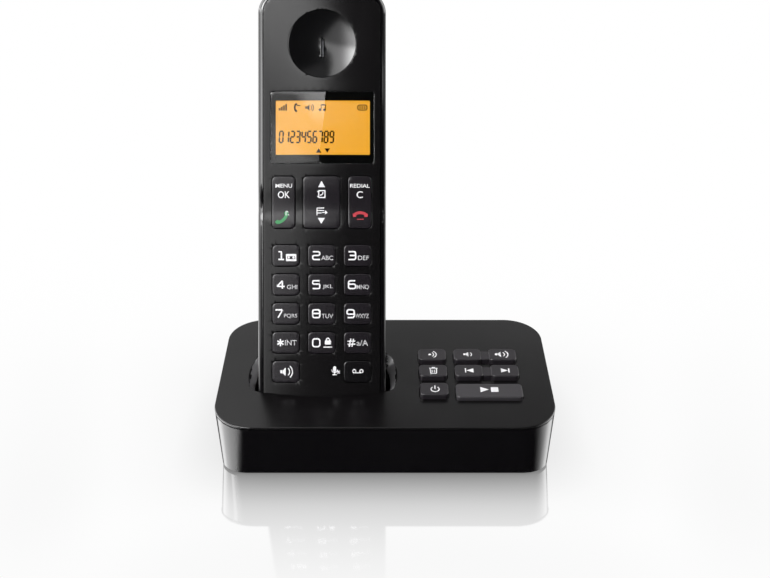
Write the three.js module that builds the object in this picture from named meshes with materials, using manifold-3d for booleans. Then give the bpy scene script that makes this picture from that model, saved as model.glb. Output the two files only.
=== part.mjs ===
// Cordless telephone: a handset that stands, leaning back, in a charging base with an
// answering machine. Millimetres, X across, Y from front to back, Z up. The origin is the
// middle of the space that the telephone fills, on the surface that it stands on.

import * as THREE from 'three';
import { mergeVertices } from 'three/addons/utils/BufferGeometryUtils.js';
import Module from 'manifold-3d';

const wasm = await Module();
wasm.setup();

const radians = THREE.MathUtils.degToRad;

// Fits that all pieces share
const seatGap = 0.3; // between a piece and what it sits on
const overrun = 4; // how far a cutter passes the face that it opens
const cornerSteps = 3; // straight steps in a small rounded corner
const roundSides = 16; // sides of a small round piece
const dishSides = 28;
const dishSteps = 5; // rings in the earpiece's hollow
const crownSteps = 8; // straight steps across the crowned face
const slotSteps = 2; // straight steps in each corner of a slot

// Handset shell, drawn with its face up: x across, y along it from its bottom end, z out of it
const handsetWidth = 47;
const handsetLength = 158;
const handsetDepth = 23.5; // face to battery door
const gripDepth = 21.8; // face to back, below the battery door
const gripLength = 38; // bottom end to the step at the battery door
const viewCorner = 7.7; // corners in the front view
const crownDrop = 1.1; // how far the face falls from its middle to its sides
const edgeRadius = 1.8; // shining band round the face
const backRadius = 8;
const topBackRadius = 11;
const bottomBackRadius = 5;
const shellWall = 1.8;
const endWall = 2.4;
const splitDepth = 11; // face to the seam between the two covers
const ledgeDepth = 2.9; // face to the ledge that carries the face panel
const ledgeWall = 1.2;
const panelBand = 1.8; // width of the shining band outside the face panel
const panelThickness = 1.6;

// Earpiece
const earTop = 7.2; // top end of the handset to the earpiece
const earOffset = 0.15;
const earRadius = 12.4;
const earHollow = 1.9;
const earRimDepth = 0.3;
const earThickness = 2.3;
const slitWidth = 0.8;
const slitLength = 7;
const slitDrop = 1.1; // slit below the middle of the dish
const earSpeakerRadius = 12.2;
const earSpeakerDepth = 5;
const earSpeakerHole = 9;

// Display
const lensSide = 4.5; // side of the handset to the window
const lensCorner = 1.2;
const lensOffset = 0.2;
const lensThickness = 1.3;
const glassSide = 1.2; // side of the window to the lit field
const glassEnd = 2.55; // end of the window to the lit field
const glassDepth = 2.4;
const moduleSide = 0.5; // side of the module past the side of the window
const moduleEnd = 0.55; // end of the module past the end of the window
const moduleThickness = 0.8;

// Handset keys
const keySide = 5.4; // side of the handset to the first column
const columnGap = 3.1;
const rowGap = 2.73;
const rowCount = 5;
const keyCorner = 1.7;
const keyRise = 0.5; // how far a key stands proud of the face
const keyBevel = 0.35;
const keyGap = 0.25; // round a key in its opening
const flangeReach = 0.8;
const flangeDepth = 2.7;
const flangeThickness = 1.1;
const rockerSide = 5.3; // side of the handset to the first rocker key
const rockerGap = 2.95;
const callShare = 0.2787; // of the rocker keys' widths together
const earLength = 7; // length of the pivot ears on a rocker key
const keyTravel = 0.6; // free space under a key
const matThickness = 0.8;
const boardThickness = 1.2;
const boardSide = 3.5; // side of the handset to the circuit board
const boardMargin = 1.73; // board past the lowest row of keys
const boardGap = 4.2; // board to the earpiece speaker
const windowSide = 3.8; // side of the handset to the keypad window
const windowMargin = 1.23; // window past the lowest row of keys
const windowRim = 1.6; // ledge left round the rocker keys at the top of the keypad window

// What lies along the face, from the bottom end: keypad, rocker keys and window, then the earpiece
const keypadLow = 14.23; // bottom end to the lowest row of keys
const keypadShare = 0.4511; // of the length from the keypad to the earpiece
const rockerGapShare = 0.0532;
const rockerShare = 0.1718;
const lensGapShare = 0.0416;
const lensShare = 0.2371;

// Battery bay, in the back of the handset
const cellRadius = 5.25;
const contactRoom = 2.75; // end of a cell to the end of the bay
const nubRadius = 1.9;
const nubHeight = 1;
const bayMiddle = 75;
const bayLength = 50;
const bayWall = 1.2;
const doorThickness = 1.4;
const doorTop = 105;
const doorCorner = 1.5;
const railReach = 0.8; // how far a rail stands out beside the door
const railThickness = 0.7;
const contactThickness = 0.5;
const contactHeight = 7.6;
const terminalWidth = 8;
const bumpRadius = 2.2;
const bumpHeight = 1.5;

// Ringer, microphone, charging contacts and screws of the handset
const ringerGap = 0.6; // to the wall above the battery door
const ringerRadius = 6.2;
const ringerDepth = 4;
const grilleSlots = 5;
const slotWidth = 1.2;
const slotSpacing = 2.4;
const ringerSlotLength = 9;
const microphoneRadius = 3;
const microphoneLength = 2.4;
const microphoneDepth = 7.4;
const microphoneHole = 0.8;
const contactSpread = 7; // half the distance between the two charging contacts
const contactDepth = 14.3; // face to the middle of a charging contact
const contactWidth = 5;
const contactSpan = 3.6;
const contactPlate = 0.6;
const bossSide = 9.5; // side of the handset to the middle of a screw
const bossHeight = 7.9;
const bossRadius = 2.6;
const shankRadius = 0.9;
const pilotRadius = 1.2;
const headRadius = 1.9;
const headHeight = 1.4;
const headDepth = 14.2; // face to the outside of a screw head
const shankLength = 7;
const bossFloor = 1.2;

// Base, drawn on its sloping deck: x across, y up the slope from the front edge, z out of it
const baseWidth = 123;
const deckDepth = 71;
const frontHeight = 20.06; // housing's lower edge to the deck's front edge
const deckTilt = radians(7.07);
const deckCorner = 14;
const footCorner = 9.6;
const sideInset = 2; // how far the side walls draw in from the deck to the lower edge
const endInset = 2.28;
const housingWall = 2;
const deckEdge = 0.8; // thickness of the deck along its rim
const deckBevel = 0.35;
const deckThickness = 2.2;
const shadowGap = 0.5; // groove between the deck and the housing
const tongueInset = 3;
const tongueWall = 1.2;
const tongueDepth = 4.6;
const footRise = 0.8; // feet below the housing's lower edge
const coverRise = 0.4; // bottom cover above the housing's lower edge
const coverThickness = 1.8;
const outlineSteps = 6; // straight steps in a corner of the base

// Cradle
const handsetLean = radians(23.74);
const rimSide = 11.4; // side of the base to the rim of the well
const faceCrossing = 20.4; // front edge of the deck to where the face passes through it
const wellGap = 0.6;
const wellFloorGap = 0.3; // handset's end to the ribs that it stands on
const wellClear = 1.2; // under side of the well to the bottom cover
const ribHeight = 0.9;
const ribWidth = 2;
const ribSpread = 15;
const ribFront = 5; // face of the handset to the start of a rib
const ribBack = 14;
const wellWall = 1.5;
const wellReach = 45; // length of the cut for the well, along the handset
const rimMargin = 3.4; // side of the handset to the rim
const rimTaper = 0.8;
const rimFront = 18.44;
const rimBack = 48.5;
const rimBow = 4.3;
const rimFrontRadius = 4;
const rimBackRadius = 8;
const rimDepth = 4.5;
const rimInset = 2;
const pinRadius = 1.1;
const pinGap = 0.3;
const pinLength = 4.1;

// Base keys
const keysLeftShare = 0.1574; // gap to the first column, of the deck right of the rim
const keysRightShare = 0.199; // gap from the last column to the side, of the same
const baseColumnGap = 3;
const baseKeyDepth = 7.6;
const baseKeyCorner = 1.6;
const baseKeyRise = 1.9;
const playOverhang = 0.3; // play key past the columns above it
const playKeyDepth = 8.4;
const playKeyRise = 1.5;
const neckWidth = 5.4;
const neckDrop = 0.45;
const backRow = 43.3;
const middleRow = 32.6;
const frontRow = 20.9;
const playRow = 20.4;
const baseFlangeGap = 0.3;
const baseFlangeThickness = 0.9;
const baseMatMargin = 3;
const baseBoardMargin = 4;

// Inside and under the base
const baseSpeakerPlaceShare = 0.507; // of the deck right of the rim
const baseSpeakerShare = 0.2422; // radius, of the same
const baseSpeakerGap = 4.75; // to the line socket
const baseSpeakerHeight = 6;
const baseSlotWidth = 1.6;
const baseSlotSpacing = 3.4;
const baseSlotLength = 18;
const footPadSide = 13.5;
const footPadFront = 14;
const footPadEnd = 13.46; // back of the base to the middle of a back foot
const footPadRadius = 4.5;
const footPadPocket = 0.6;
const postSide = 30.5;
const postEnd = 9.46; // back of the base to the middle of a screw post
const postRadius = 3;
const baseHeadRadius = 2.4;
const baseHeadHeight = 0.9;
const baseShankRadius = 1.1;
const baseShankLength = 9;

// Sockets in the back wall of the base
const lineSide = 41.5; // side of the base to the middle of the line socket
const lineWidth = 13;
const lineHeight = 11;
const lineDepth = 13;
const lineHoleWidth = 9.8;
const lineHoleHeight = 6.8;
const lineHoleDepth = 11;
const powerSide = 20.5;
const powerSize = 10;
const powerDepth = 11;
const powerBore = 3.1;
const powerBoreDepth = 9;
const powerPinRadius = 0.9;
const powerPinLength = 4;
const socketSetback = 0.6;

// Places and sizes along and across the face
const halfWidth = handsetWidth / 2;
const earHeight = handsetLength - earTop - earRadius;
const faceRun = handsetLength - keypadLow - earTop - 2 * earRadius;
const rowSpacing = (faceRun * keypadShare + rowGap) / rowCount;
const keyHeight = rowSpacing - rowGap;
const keyWidth = (handsetWidth - 2 * keySide - 2 * columnGap) / 3;
const columnSpacing = keyWidth + columnGap;
const rockerWidths = handsetWidth - 2 * rockerSide - 2 * rockerGap;
const callWidth = rockerWidths * callShare;
const navWidth = rockerWidths - 2 * callWidth;
const rockerOffset = (navWidth + callWidth) / 2 + rockerGap;
const rockerHeight = faceRun * rockerShare;
const rockerMiddle = keypadLow + faceRun * (keypadShare + rockerGapShare) + rockerHeight / 2;
const lensWidth = handsetWidth - 2 * lensSide;
const lensHeight = faceRun * lensShare;
const lensMiddle = rockerMiddle + (rockerHeight + lensHeight) / 2 + faceRun * lensGapShare;
const glassWidth = lensWidth - 2 * glassSide;
const glassHeight = lensHeight - 2 * glassEnd;
const moduleWidth = lensWidth + 2 * moduleSide;
const moduleHeight = lensHeight + 2 * moduleEnd;
const boardHalfWidth = halfWidth - boardSide;
const boardLow = keypadLow - boardMargin;
const boardHigh = earHeight - earSpeakerRadius - boardGap;
const windowHalfWidth = halfWidth - windowSide;
const windowLow = keypadLow - windowMargin;

// Places and sizes in the handset's back
const doorWidth = handsetWidth - 2 * backRadius - 2 * seatGap;
const cellLength = bayLength - 2 * contactRoom;
const ringerHeight = doorTop + seatGap + shellWall + ringerGap + ringerRadius;
const bossSpread = halfWidth - bossSide;

// Places and sizes across the base
const rimHalfWidth = halfWidth + rimMargin;
const handsetOffset = rimSide + rimHalfWidth - baseWidth / 2;
const rimRight = handsetOffset + rimHalfWidth;
const keysRun = baseWidth / 2 - rimRight;
const keysWidth = keysRun * (1 - keysLeftShare - keysRightShare);
const baseKeyWidth = (keysWidth - 2 * baseColumnGap) / 3;
const baseColumnSpacing = baseKeyWidth + baseColumnGap;
const baseLeft = rimRight + keysRun * keysLeftShare + baseKeyWidth / 2;
const baseCentre = baseLeft + baseColumnSpacing;
const baseRight = baseCentre + baseColumnSpacing;
const playKeyWidth = baseColumnSpacing + baseKeyWidth + 2 * playOverhang;
const baseSpeakerX = rimRight + keysRun * baseSpeakerPlaceShare;
const baseSpeakerRadius = keysRun * baseSpeakerShare;
const footPadX = baseWidth / 2 - footPadSide;
const postX = baseWidth / 2 - postSide;
const lineX = baseWidth / 2 - lineSide;
const powerX = baseWidth / 2 - powerSide;
const deckRun = deckDepth * Math.cos(deckTilt);
const footPadBack = deckRun - footPadEnd;
const postY = deckRun - postEnd;
const coverBottom = footRise + coverRise;
const coverTop = coverBottom + coverThickness;

// Surfaces
function finish(color, roughness, metalness) {
  return new THREE.MeshStandardMaterial({ color, roughness, metalness });
}
const mattBlack = finish(0x2a282b, 0.55, 0);
const glossBlack = finish(0x0d0c0e, 0.12, 0);
const keyBlack = finish(0x343236, 0.5, 0);
const windowBlack = finish(0x101312, 0.05, 0);
const amber = finish(0xf0ac2a, 0.4, 0);
const boardGreen = finish(0x1e5a38, 0.5, 0);
const rubberGrey = finish(0x4a4a4c, 0.8, 0);
const nickel = finish(0xc9c6bf, 0.3, 1);
const steel = finish(0x8f9094, 0.35, 1);
const cellSleeve = finish(0x2f6d4a, 0.4, 0);

// Solids: joining and cutting
function solidOf(geometry, matrix = new THREE.Matrix4()) {
  const bare = geometry.clone().applyMatrix4(matrix);
  bare.deleteAttribute('normal');
  bare.deleteAttribute('uv');
  const welded = mergeVertices(bare);
  return new wasm.Manifold(new wasm.Mesh({
    numProp: 3,
    vertProperties: new Float32Array(welded.attributes.position.array),
    triVerts: new Uint32Array(welded.index.array),
  }));
}

function geometryOf(solid) {
  const mesh = solid.getMesh();
  const geometry = new THREE.BufferGeometry();
  geometry.setAttribute('position', new THREE.BufferAttribute(mesh.vertProperties, 3));
  geometry.setIndex(new THREE.BufferAttribute(mesh.triVerts, 1));
  geometry.computeVertexNormals();
  return geometry;
}

const join = (...solids) => solids.reduce((sum, solid) => sum.add(solid));
const common = (...solids) => solids.reduce((sum, solid) => sum.intersect(solid));
const cut = (solid, ...tools) => tools.reduce((rest, tool) => rest.subtract(tool), solid);

// Outline from corners [x, y, radius]; a corner with a radius becomes an arc
function rounded(corners, steps = cornerSteps) {
  const points = [];
  corners.forEach(([x, y, radius = 0], i) => {
    const corner = new THREE.Vector2(x, y);
    if (radius <= 0) {
      points.push(corner);
      return;
    }
    const toCorner = (other) => new THREE.Vector2(other[0], other[1]).sub(corner).normalize();
    const before = toCorner(corners.at(i - 1));
    const after = toCorner(corners[(i + 1) % corners.length]);
    const halfAngle = Math.acos(THREE.MathUtils.clamp(before.dot(after), -1, 1)) / 2;
    const inward = before.clone().add(after).normalize();
    const centre = corner.clone().addScaledVector(inward, radius / Math.sin(halfAngle));
    const start = corner.clone().addScaledVector(before, radius / Math.tan(halfAngle)).sub(centre);
    const turn = (Math.PI - 2 * halfAngle) * Math.sign(before.cross(after)) * -1;
    for (let step = 0; step <= steps; step += 1) {
      const spoke = start.clone().rotateAround(new THREE.Vector2(), turn * step / steps);
      points.push(spoke.add(centre));
    }
  });
  return new THREE.Shape(points);
}

function roundedBox(x, y, width, height, radius, steps = cornerSteps) {
  const [left, right] = [x - width / 2, x + width / 2];
  const [low, high] = [y - height / 2, y + height / 2];
  return rounded([[left, low, radius], [right, low, radius], [right, high, radius],
    [left, high, radius]], steps);
}

// Prisms: an outline in the plane across the named axis, carried along that axis
function alongZ(shape, from, to) {
  const prism = new THREE.ExtrudeGeometry(shape, { depth: to - from, bevelEnabled: false });
  return prism.translate(0, 0, from);
}

function alongY(shape, from, to) {
  return alongZ(shape, -to, -from).rotateX(Math.PI / 2);
}

function alongX(shape, from, to) {
  const turn = new THREE.Matrix4().makeBasis(
    new THREE.Vector3(0, 1, 0), new THREE.Vector3(0, 0, 1), new THREE.Vector3(1, 0, 0));
  return alongZ(shape, from, to).applyMatrix4(turn);
}

function block(x, y, width, height, from, to) {
  return new THREE.BoxGeometry(width, height, to - from).translate(x, y, (from + to) / 2);
}

function rod(x, y, radius, from, to, sides = roundSides) {
  const cylinder = new THREE.CylinderGeometry(radius, radius, to - from, sides);
  return cylinder.rotateX(Math.PI / 2).translate(x, y, (from + to) / 2);
}

// Closed solid through a stack of rings with equal counts of points, lowest ring first
function loft(rings) {
  const count = rings[0].length;
  const positions = rings.flat().flatMap((point) => point.toArray());
  const flat = (ring) => ring.map((point) => new THREE.Vector2(point.x, point.y));
  const cap = (ring) => THREE.ShapeUtils.triangulateShape(flat(ring), []);
  const last = (rings.length - 1) * count;
  const index = [];
  cap(rings[0]).forEach(([a, b, c]) => index.push(c, b, a));
  cap(rings.at(-1)).forEach(([a, b, c]) => index.push(last + a, last + b, last + c));
  for (let level = 0; level < rings.length - 1; level += 1) {
    for (let i = 0; i < count; i += 1) {
      const [low, nextLow] = [level * count + i, level * count + (i + 1) % count];
      index.push(low, nextLow, nextLow + count, low, nextLow + count, low + count);
    }
  }
  const geometry = new THREE.BufferGeometry();
  geometry.setAttribute('position', new THREE.Float32BufferAttribute(positions, 3));
  geometry.setIndex(index);
  return geometry;
}

const raised = (points, z) => points.map((p) => new THREE.Vector3(p.x, p.y, z));
const ringAt = (shape, z) => raised(shape.getPoints(), z);

// Block with rounded corners and a bevelled top edge
function bevelledBox(x, y, width, height, radius, from, to, bevel) {
  const full = roundedBox(x, y, width, height, radius);
  const top = roundedBox(x, y, width - 2 * bevel, height - 2 * bevel, radius - bevel);
  return loft([ringAt(full, from), ringAt(full, to - bevel), ringAt(top, to)]);
}

const telephone = new THREE.Group();
const handset = new THREE.Group();
const deck = new THREE.Group();
telephone.add(handset, deck);

function piece(name, shape, material, parent) {
  const geometry = shape.isBufferGeometry ? shape : geometryOf(shape);
  const mesh = new THREE.Mesh(geometry, material);
  mesh.name = name;
  parent.add(mesh);
  return mesh;
}

// Places of the deck and of the handset; the well's round back corner clears the bottom cover
const deckHeight = footRise + frontHeight;
deck.position.set(0, 0, deckHeight);
deck.rotation.x = deckTilt;
deck.updateMatrix();

const handsetAxis = new THREE.Vector3(0, Math.sin(handsetLean), Math.cos(handsetLean));
const crossing = new THREE.Vector3(handsetOffset, faceCrossing, 0).applyMatrix4(deck.matrix);
const wellGrow = wellGap + wellWall;
const wellFloor = wellFloorGap + ribHeight;
const wellCorner = bottomBackRadius + wellGrow;
const wellDrop = crossing.z - coverTop - wellClear - wellCorner
  - (gripDepth + wellGrow - wellCorner) * Math.sin(handsetLean);
const sunkLength = wellDrop / Math.cos(handsetLean) + wellCorner - wellFloor - wellWall;
handset.position.copy(crossing).addScaledVector(handsetAxis, -sunkLength);
handset.rotation.x = Math.PI / 2 - handsetLean;
handset.updateMatrix();

const toDeck = deck.matrix.clone().invert();
const handsetToDeck = toDeck.clone().multiply(handset.matrix);

// Handset body, the common part of its section, its side view and its front view
const crownAt = (x) => crownDrop * (x / halfWidth) ** 2;

function crownPoints(half, rise) {
  return Array.from({ length: crownSteps + 1 }, (_, i) => {
    const x = half * (1 - 2 * i / crownSteps);
    return [x, rise - crownAt(x)];
  });
}

function handsetSection(grow) {
  const [half, back, radius] = [halfWidth + grow, -handsetDepth - grow, backRadius + grow];
  const face = crownPoints(half, grow);
  face[0].push(edgeRadius + grow);
  face.at(-1).push(edgeRadius + grow);
  return rounded([...face, [-half, back, radius], [half, back, radius]]);
}

function handsetProfile(grow) {
  const [low, high] = [-grow, handsetLength + grow];
  const step = handsetDepth - gripDepth;
  return rounded([
    [low, grow, edgeRadius], [high, grow, edgeRadius], [high, -handsetDepth - grow, topBackRadius],
    [gripLength, -handsetDepth - grow, 0], [gripLength - step, -gripDepth - grow, 0],
    [low, -gripDepth - grow, bottomBackRadius + grow],
  ]);
}

function handsetView(grow) {
  return roundedBox(0, handsetLength / 2, handsetWidth + 2 * grow, handsetLength + 2 * grow,
    viewCorner + grow);
}

function handsetBody() {
  return common(
    solidOf(alongY(handsetSection(0), -overrun, handsetLength + overrun)),
    solidOf(alongX(handsetProfile(0), -handsetWidth, handsetWidth)),
    solidOf(alongZ(handsetView(0), -handsetDepth - overrun, overrun)),
  );
}

const ledgeBack = ledgeDepth + ledgeWall;
const floorDepth = gripDepth - shellWall;
const recessTop = doorTop + seatGap;

function handsetCavity() {
  const half = halfWidth - shellWall;
  const backDepth = handsetDepth - shellWall;
  const innerRadius = backRadius - shellWall;
  const section = rounded([[half, -ledgeBack], [-half, -ledgeBack],
    [-half, -backDepth, innerRadius], [half, -backDepth, innerRadius]]);
  const highStart = recessTop + shellWall;
  const highEnd = handsetLength - shellWall;
  const profile = rounded([
    [endWall, -ledgeBack], [highEnd, -ledgeBack], [highEnd, -backDepth, topBackRadius - shellWall],
    [highStart, -backDepth], [highStart, -floorDepth],
    [endWall, -floorDepth, bottomBackRadius - shellWall],
  ]);
  return common(
    solidOf(alongY(section, -overrun, handsetLength + overrun)),
    solidOf(alongX(profile, -handsetWidth, handsetWidth)),
    solidOf(alongZ(handsetView(-shellWall), -handsetDepth, 0)),
  );
}

// Slab of the face: crowned in front and behind
function crownedSlab(front, thickness) {
  const face = crownPoints(halfWidth, -front);
  const back = crownPoints(halfWidth, -front - thickness).reverse();
  return alongY(rounded([...face, ...back]), 0, handsetLength);
}

// Places of the keys
const keyRows = Array.from({ length: rowCount },
  (_, row) => keypadLow + keyHeight / 2 + (rowCount - 1 - row) * rowSpacing);
const digitNames = [['1', '2', '3'], ['4', '5', '6'], ['7', '8', '9'], ['star', '0', 'hash']];
const pushKeys = [
  ...digitNames.flatMap((names, row) => names.map((name, column) => ({
    name: `key_${name}`, x: (column - 1) * columnSpacing, y: keyRows[row],
  }))),
  { name: 'speaker_key', x: -columnSpacing, y: keyRows[4] },
  { name: 'message_key', x: columnSpacing, y: keyRows[4] },
];
const rockerKeys = [
  { name: 'menu_call_key', x: -rockerOffset, width: callWidth },
  { name: 'nav_key', x: 0, width: navWidth },
  { name: 'redial_end_key', x: rockerOffset, width: callWidth },
];
const keyFoot = flangeDepth + flangeThickness;

function keyOpening(x, y, width, height) {
  const shape = roundedBox(x, y, width + 2 * keyGap, height + 2 * keyGap, keyCorner + keyGap);
  return solidOf(alongZ(shape, -ledgeDepth - overrun, overrun));
}

function makeFrontCover() {
  const view = solidOf(alongZ(handsetView(0), -splitDepth, overrun));
  const recess = solidOf(alongZ(handsetView(-panelBand), -ledgeDepth, overrun));
  const windowTop = rockerMiddle + rockerHeight / 2 + windowRim;
  const keypadMiddle = (windowLow + windowTop) / 2;
  const windowWidth = 2 * windowHalfWidth;
  const openings = [
    block(0, keypadMiddle, windowWidth, windowTop - windowLow, -splitDepth, 0),
    block(lensOffset, lensMiddle, glassWidth + 2 * seatGap, glassHeight + 2 * seatGap, -splitDepth, 0),
    rod(earOffset, earHeight, earSpeakerHole, -splitDepth, 0),
    alongY(new THREE.Shape().absarc(0, -microphoneDepth, microphoneHole, 0, 2 * Math.PI),
      -overrun, endWall + overrun),
  ];
  const shell = cut(common(handsetBody(), view), handsetCavity(), recess, ...openings.map((o) => solidOf(o)));
  const bosses = [-bossSpread, bossSpread].map((x) => cut(
    solidOf(rod(x, bossHeight, bossRadius, -splitDepth, -ledgeDepth - seatGap)),
    solidOf(rod(x, bossHeight, pilotRadius, -splitDepth - overrun, seatGap - splitDepth + shankLength)),
  ));
  return join(shell, ...bosses);
}

function makeFacePanel() {
  const edge = panelBand + seatGap;
  const slab = common(solidOf(crownedSlab(0, panelThickness)),
    solidOf(alongZ(handsetView(-edge), -ledgeDepth, overrun)));
  const lensHole = roundedBox(lensOffset, lensMiddle, lensWidth + 2 * seatGap,
    lensHeight + 2 * seatGap, lensCorner + seatGap);
  return cut(slab,
    solidOf(alongZ(lensHole, -ledgeDepth, overrun)),
    solidOf(rod(earOffset, earHeight, earRadius + seatGap, -ledgeDepth, overrun, dishSides)),
    ...pushKeys.map(({ x, y }) => keyOpening(x, y, keyWidth, keyHeight)),
    ...rockerKeys.map(({ x, width }) => keyOpening(x, rockerMiddle, width, rockerHeight)));
}

function makeLens() {
  const view = roundedBox(lensOffset, lensMiddle, lensWidth, lensHeight, lensCorner);
  return common(solidOf(crownedSlab(0, lensThickness)), solidOf(alongZ(view, -ledgeDepth, overrun)));
}

// The front of the module shows the amber field through the lens
function makeDisplayModule() {
  const plateFront = ledgeBack + seatGap;
  return join(
    solidOf(block(lensOffset, lensMiddle, glassWidth, glassHeight, -plateFront - moduleThickness,
      -glassDepth)),
    solidOf(block(lensOffset, lensMiddle, moduleWidth, moduleHeight, -plateFront - moduleThickness,
      -plateFront)));
}

// The dish is a turned disc, hollow in front, with the slit cut through it
function makeEarpieceDish() {
  const hollow = Array.from({ length: dishSteps + 1 }, (_, i) => {
    const radius = earRadius * i / dishSteps;
    return new THREE.Vector2(radius, -earRimDepth - earHollow * (1 - (radius / earRadius) ** 2));
  });
  const back = -earRimDepth - earThickness;
  const outline = [new THREE.Vector2(0, back), new THREE.Vector2(earRadius, back), ...hollow.reverse()];
  const disc = new THREE.LatheGeometry(outline, dishSides).rotateX(Math.PI / 2);
  const slit = roundedBox(0, -slitDrop, slitWidth, slitLength, slitWidth / 2, slotSteps);
  return cut(solidOf(disc.translate(earOffset, earHeight, 0)),
    solidOf(alongZ(slit, -ledgeDepth, overrun).translate(earOffset, earHeight, 0)));
}

function makePushKey(x, y) {
  const top = keyRise - crownAt(x);
  const flange = roundedBox(x, y, keyWidth + 2 * flangeReach, keyHeight + 2 * flangeReach,
    keyCorner + flangeReach);
  return join(
    solidOf(bevelledBox(x, y, keyWidth, keyHeight, keyCorner, -keyFoot, top, keyBevel)),
    solidOf(alongZ(flange, -keyFoot, -flangeDepth)));
}

function makeRockerKey(x, width) {
  const top = keyRise - crownAt(x);
  const cap = bevelledBox(x, rockerMiddle, width, rockerHeight, keyCorner, -keyFoot, top, keyBevel);
  const ears = block(x, rockerMiddle, width + 2 * flangeReach, earLength, -keyFoot, -flangeDepth);
  return join(solidOf(cap), solidOf(ears));
}

const matFront = keyFoot + keyTravel;
const boardFront = matFront + matThickness + seatGap;
const matTop = rockerMiddle + rockerHeight / 2;

function makeHandsetBoard() {
  return alongZ(roundedBox(0, (boardLow + boardHigh) / 2, 2 * boardHalfWidth, boardHigh - boardLow,
    keyCorner), -boardFront - boardThickness, -boardFront);
}

function makeKeypadMat() {
  const low = boardLow + shellWall;
  return alongZ(roundedBox(0, (low + matTop) / 2, 2 * (boardHalfWidth - shellWall), matTop - low,
    keyCorner), -matFront - matThickness, -matFront);
}

// Speakers and the microphone are stepped discs
const capsuleShares = { step: 1 / 3, rim: 1 / 6 };
function makeCapsule(radius, depth) {
  const [step, rim] = [depth * capsuleShares.step, radius * capsuleShares.rim];
  const outline = [[0, 0], [radius, 0], [radius, depth - step], [radius - rim, depth - step],
    [radius - rim, depth], [0, depth]].map(([x, y]) => new THREE.Vector2(x, y));
  return new THREE.LatheGeometry(outline, roundSides);
}

function makeRearCover() {
  const shell = cut(
    common(handsetBody(), solidOf(block(0, handsetLength / 2, 2 * handsetWidth, 2 * handsetLength,
      -handsetDepth - overrun, -splitDepth - seatGap))),
    handsetCavity());
  const recessWidth = doorWidth + 2 * seatGap;
  const recess = block(0, recessTop / 2, recessWidth, recessTop, -handsetDepth - overrun, -gripDepth);
  const bayWidth = 4 * cellRadius + 3 * seatGap;
  const bayFloor = bayFront - bayWall;
  const tray = block(0, bayMiddle, bayWidth + 2 * bayWall, bayLength + 2 * bayWall,
    -floorDepth - seatGap, -bayFloor);
  const bay = block(0, bayMiddle, bayWidth, bayLength, -handsetDepth, -bayFront);
  const grooves = block(0, recessTop / 2, recessWidth + 2 * railReach, recessTop,
    -doorDepth - railThickness - seatGap, -gripDepth);
  const slots = Array.from({ length: grilleSlots }, (_, i) => {
    const y = ringerHeight + (i - (grilleSlots - 1) / 2) * slotSpacing;
    const slot = roundedBox(0, y, ringerSlotLength, slotWidth, slotWidth / 2, slotSteps);
    return solidOf(alongZ(slot, -handsetDepth - overrun, -handsetDepth + shellWall + seatGap));
  });
  const sides = [-1, 1];
  const tubes = sides.map((side) => solidOf(rod(side * bossSpread, bossHeight, bossRadius + bossFloor,
    -floorDepth - seatGap, -splitDepth - seatGap)));
  const headSeat = headDepth - headHeight - seatGap;
  const screwHoles = sides.flatMap((side) => [
    solidOf(rod(side * bossSpread, bossHeight, headRadius + seatGap, -handsetDepth, -headSeat)),
    solidOf(rod(side * bossSpread, bossHeight, pilotRadius, -handsetDepth, 0)),
  ]);
  const pocketDepth = contactPlate + seatGap;
  const pockets = sides.map((side) => solidOf(new THREE.BoxGeometry(
    contactWidth + 2 * seatGap, 2 * pocketDepth, contactSpan + 2 * seatGap,
  ).translate(side * contactSpread, 0, -contactDepth)));
  return cut(join(shell, solidOf(tray), ...tubes),
    solidOf(recess), solidOf(grooves), solidOf(bay), ...slots, ...screwHoles, ...pockets);
}

// Depths in the battery bay, from the door inwards
const doorDepth = handsetDepth - doorThickness;
const cellDepth = doorDepth - 2 * seatGap - cellRadius;
const bayFront = cellDepth - cellRadius - seatGap;

function makeBatteryDoor() {
  const low = gripLength + seatGap;
  const [doorMiddle, doorLength] = [(low + doorTop) / 2, doorTop - low];
  const plate = roundedBox(0, doorMiddle, doorWidth, doorLength, doorCorner);
  const rails = roundedBox(0, doorMiddle, doorWidth + 2 * railReach, doorLength, doorCorner);
  return join(
    solidOf(alongZ(plate, -handsetDepth, -doorDepth)),
    solidOf(alongZ(rails, -doorDepth - railThickness, -doorDepth)));
}

function makeCell() {
  const half = cellLength / 2;
  const shoulder = half - nubHeight;
  const outline = [[0, -half], [cellRadius, -half], [cellRadius, shoulder], [nubRadius, shoulder],
    [nubRadius, half], [0, half]].map(([x, y]) => new THREE.Vector2(x, y));
  return new THREE.LatheGeometry(outline, roundSides);
}

// A battery contact is a plate with a bump towards each cell that it meets
function makeBatteryContact(width, bumps, end) {
  const plateMiddle = bayMiddle + end * (bayLength / 2 - seatGap - contactThickness / 2);
  const plate = new THREE.BoxGeometry(width, contactThickness, contactHeight);
  const bump = new THREE.CylinderGeometry(bumpRadius, bumpRadius, bumpHeight, roundSides);
  const inner = plateMiddle - end * bumpHeight / 2;
  return (x) => join(
    solidOf(plate.clone().translate(x, plateMiddle, -cellDepth)),
    ...bumps.map((offset) => solidOf(bump.clone().translate(x + offset, inner, -cellDepth))));
}

function makeScrew(x, y, seat, head, headThickness, shank, length) {
  return join(
    solidOf(rod(x, y, head, seat - headThickness, seat)),
    solidOf(rod(x, y, shank, seat - headThickness / 2, seat + length)));
}

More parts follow.
